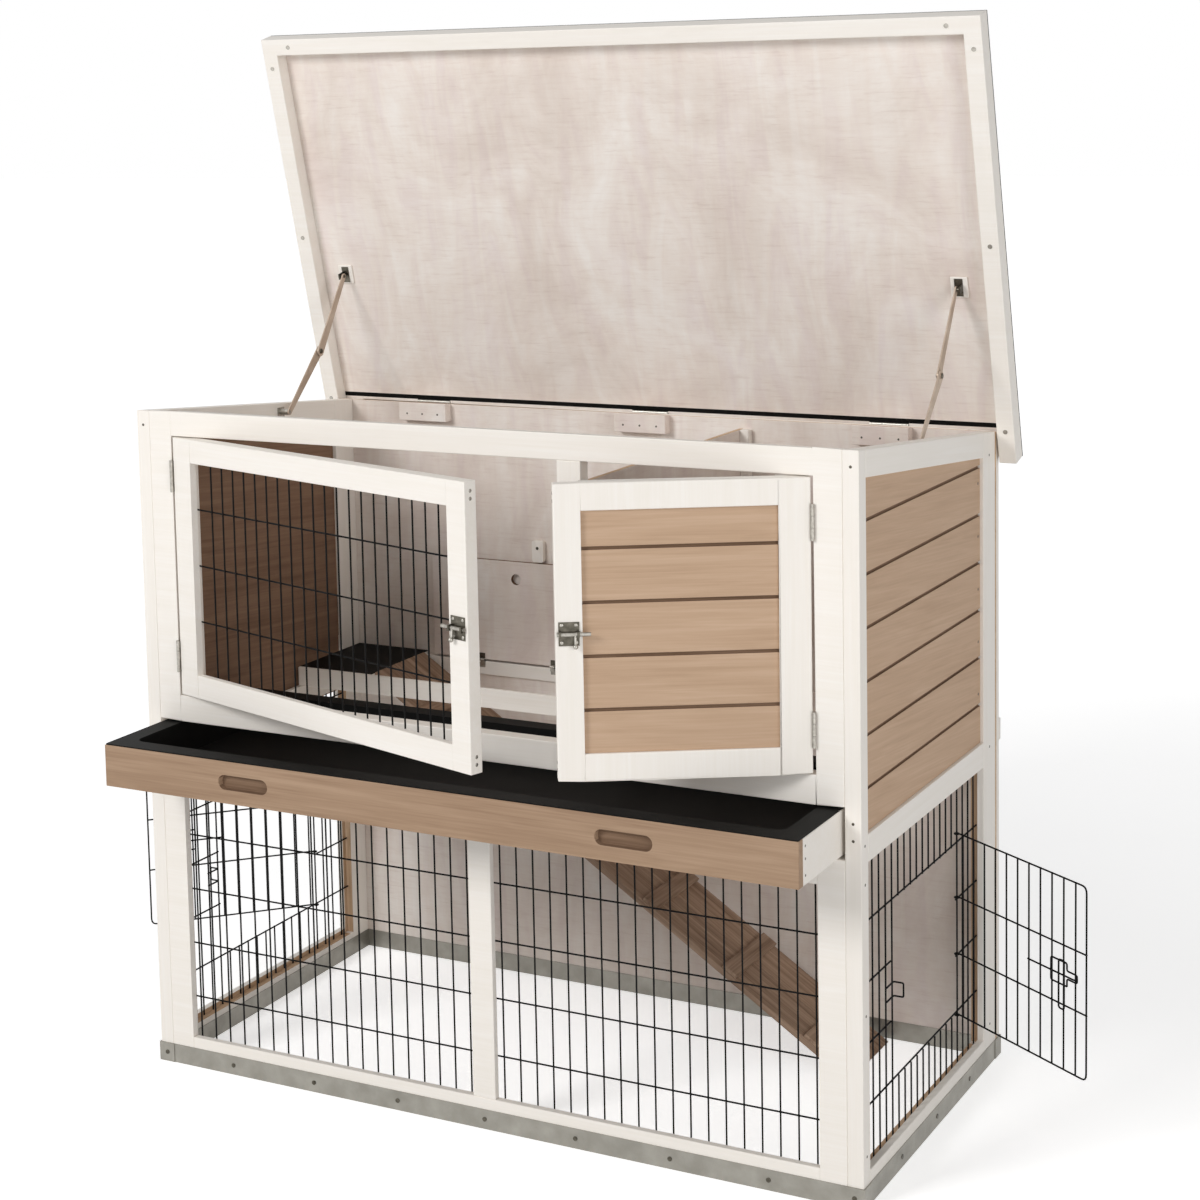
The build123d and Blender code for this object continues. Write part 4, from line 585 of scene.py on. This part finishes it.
# Rivets at the knees of the stays: the end of each arm that is furthest from its other pin
KNEE_INSET = 8
for side_name in ("right", "left"):
    for part, pivot in (("lower", "side"), ("upper", "roof")):
        name = "%s_stay_%s_arm" % (side_name, part)
        pin = Vector(joint["%s_stay_%s_pivot" % (side_name, pivot)]["pos_m"])
        corners = [v.co for v in frame["nodes"][name].data.vertices]
        middle = sum(c.x for c in corners) / len(corners)
        width = max(c.x for c in corners) - min(c.x for c in corners)
        reach = max(((c - pin) * Vector((0, 1, 1)) for c in corners), key=lambda d: d.length)
        knee = pin + reach.normalized() * (reach.length - KNEE_INSET * MM)
        spots = [(((middle + way * width / 2) / MM, knee.y / MM, knee.z / MM), (way, 0, 0))
                 for way in (1, -1)]
        heads("%s_stay_%s_rivets" % (side_name, part), spots, 4.2, 1.4,
              "%s_%s_stay" % (side_name, part), NICKEL, "zinc_hardware")

# The button's screw
face_y = extent("hatch_button", 1)[0]
pin = joint["hatch_button_pivot"]["pos_m"]
heads("hatch_button_screw", [((pin[0] / MM, face_y, pin[2] / MM), (0, -1, 0))], 2.6, 0.7,
      "hatch_button", NICKEL, "zinc_hardware")

# Nails in the ends of the drawer front, in the hinge blocks and at the rear ends of the planks
left, right = extent("drawer_sides", 0)
near = extent("drawer_sides", 1)[0]
low, high = extent("drawer_sides", 2)
spots = [((x, near + 7, low + (high - low) * part), (way, 0, 0))
         for x, way in ((right, 1), (left, -1)) for part in (0.2, 0.55, 0.82)]
heads("drawer_nails", spots, 1.8, 0.3, "drawer", NICKEL, "zinc_hardware")

BLOCK_Y, BLOCK_Z = 518, 904
spots = [((x + dx, BLOCK_Y, BLOCK_Z), (0, -1, 0)) for x in (-385, 0, 385) for dx in (-28, 0, 28)]
heads("block_nails", spots, 1.6, 0.3, "root", NICKEL, "zinc_hardware")

# Screws in the front and side faces of the posts
POST_X = 539
BODY_HALF = 550
spots = [((x, 0, z), (0, -1, 0)) for x in (-POST_X, POST_X) for z in (949, 478, 500)]
spots += [((way * BODY_HALF, y, z), (way, 0, 0)) for way in (1, -1) for y, z in
          ((12, 470), (12, 420), (12, 250), (12, 66), (510, 470), (510, 60), (510, 890))]
heads("post_screws", spots, 2.0, 0.4, "root", NICKEL, "zinc_hardware")

PLANK_COUNT = 6
outer = extent("right_side_planks", 0)[1]
rear = extent("right_side_planks", 1)[1]
low, high = extent("right_side_planks", 2)
spots = [((way * outer, rear - 9, low + (high - low) * (k + 0.96) / PLANK_COUNT), (way, 0, 0))
         for k in range(PLANK_COUNT - 1) for way in (1, -1)]
heads("plank_nails", spots, 2.2, 0.5, "root", NICKEL, "zinc_hardware")

# Floor, light and camera
def direct_view(tree):
    """1 for what the camera, a mirror-like surface or glass sees, and 0 for light on the object."""
    path = add(tree, "LightPath")
    seen = add(tree, "Math", {0: path.outputs["Is Camera Ray"], 1: path.outputs["Is Glossy Ray"]},
               operation="MAXIMUM")
    seen = add(tree, "Math", {0: seen.outputs[0], 1: path.outputs["Is Transmission Ray"]},
               operation="MAXIMUM")
    return seen.outputs[0]


FLOOR_REACH = 30
floor_mesh = bpy.data.meshes.new("floor")
floor_mesh.from_pydata([(x * FLOOR_REACH, y * FLOOR_REACH, 0) for x, y in ((-1, -1), (1, -1), (1, 1), (-1, 1))],
                       [], [(0, 1, 2, 3)])
floor_material, floor_tree, floor_shader = new_material("pale_floor", 0.9)
floor_place = add(floor_tree, "TexCoord").outputs["Object"]
speckle = add(floor_tree, "TexNoise", {"Vector": floor_place, "Scale": 3.0})
shades = [(0.3, "#F8F8F8"), (0.5, "#FAFAFA"), (0.7, "#FBFBFB")]
floor_tree.links.new(ramp(floor_tree, speckle.outputs["Fac"], shades), floor_shader.inputs["Base Color"])
# The floor is lifted to white where the lamps don't reach, and less near the hutch, so its shadow shows
away = add(floor_tree, "VectorMath", {0: floor_place}, operation="LENGTH")
white = add(floor_tree, "MapRange", {"Value": away.outputs["Value"], "From Min": 1.2, "From Max": 4.0,
                                     "To Min": 0.52, "To Max": 0.76})
lift = add(floor_tree, "Math", {0: direct_view(floor_tree), 1: white.outputs[0]}, operation="MULTIPLY")
floor_shader.inputs["Emission Color"].default_value = (1, 1, 1, 1)
floor_tree.links.new(lift.outputs[0], floor_shader.inputs["Emission Strength"])
floor = put("floor", floor_mesh, [floor_material])
floor.location.z = -0.5 * MM

SKY_LIGHT = 0.28
world = bpy.data.worlds.new("studio")
bpy.context.scene.world = world
world.use_nodes = True
sky = world.node_tree
backdrop = sky.nodes["Background"]
backdrop.inputs["Color"].default_value = (1, 1, 1, 1)
level = add(sky, "MapRange", {"Value": direct_view(sky), "To Min": SKY_LIGHT, "To Max": 1.0})
sky.links.new(level.outputs[0], backdrop.inputs["Strength"])


def lamp(name, at, aim, watts, size):
    data = bpy.data.lights.new(name, "AREA")
    data.energy = watts
    data.size = size
    made = bpy.data.objects.new(name, data)
    made.location = at
    made.rotation_euler = (Vector(aim) - Vector(at)).to_track_quat("-Z", "Y").to_euler()
    bpy.context.collection.objects.link(made)


lamp("key", (-2.0, -4.3, 3.3), (0, 0.2, 0.7), 150, 1.8)
lamp("fill", (4.4, -2.6, 1.6), (0, 0.2, 0.7), 72, 2.4)

camera_data = bpy.data.cameras.new("camera")
camera_data.sensor_width = 36
camera_data.lens = 72.227
camera_data.shift_x = 0.06667
camera_data.shift_y = -0.20833
camera = bpy.data.objects.new("camera", camera_data)
right_way = Vector((0.87642886, 0.48101218, -0.02235482))
up_way = Vector((-0.03293382, 0.10619349, 0.99379993))
back_way = Vector((0.48040381, -0.87025871, 0.10891261))
turn = Matrix((right_way, up_way, back_way)).transposed().to_4x4()
camera.matrix_world = Matrix.Translation((1.5932358, -2.7378225, 1.4202372)) @ turn
bpy.context.collection.objects.link(camera)
bpy.context.scene.camera = camera
bpy.context.scene.view_settings.view_transform = "Standard"
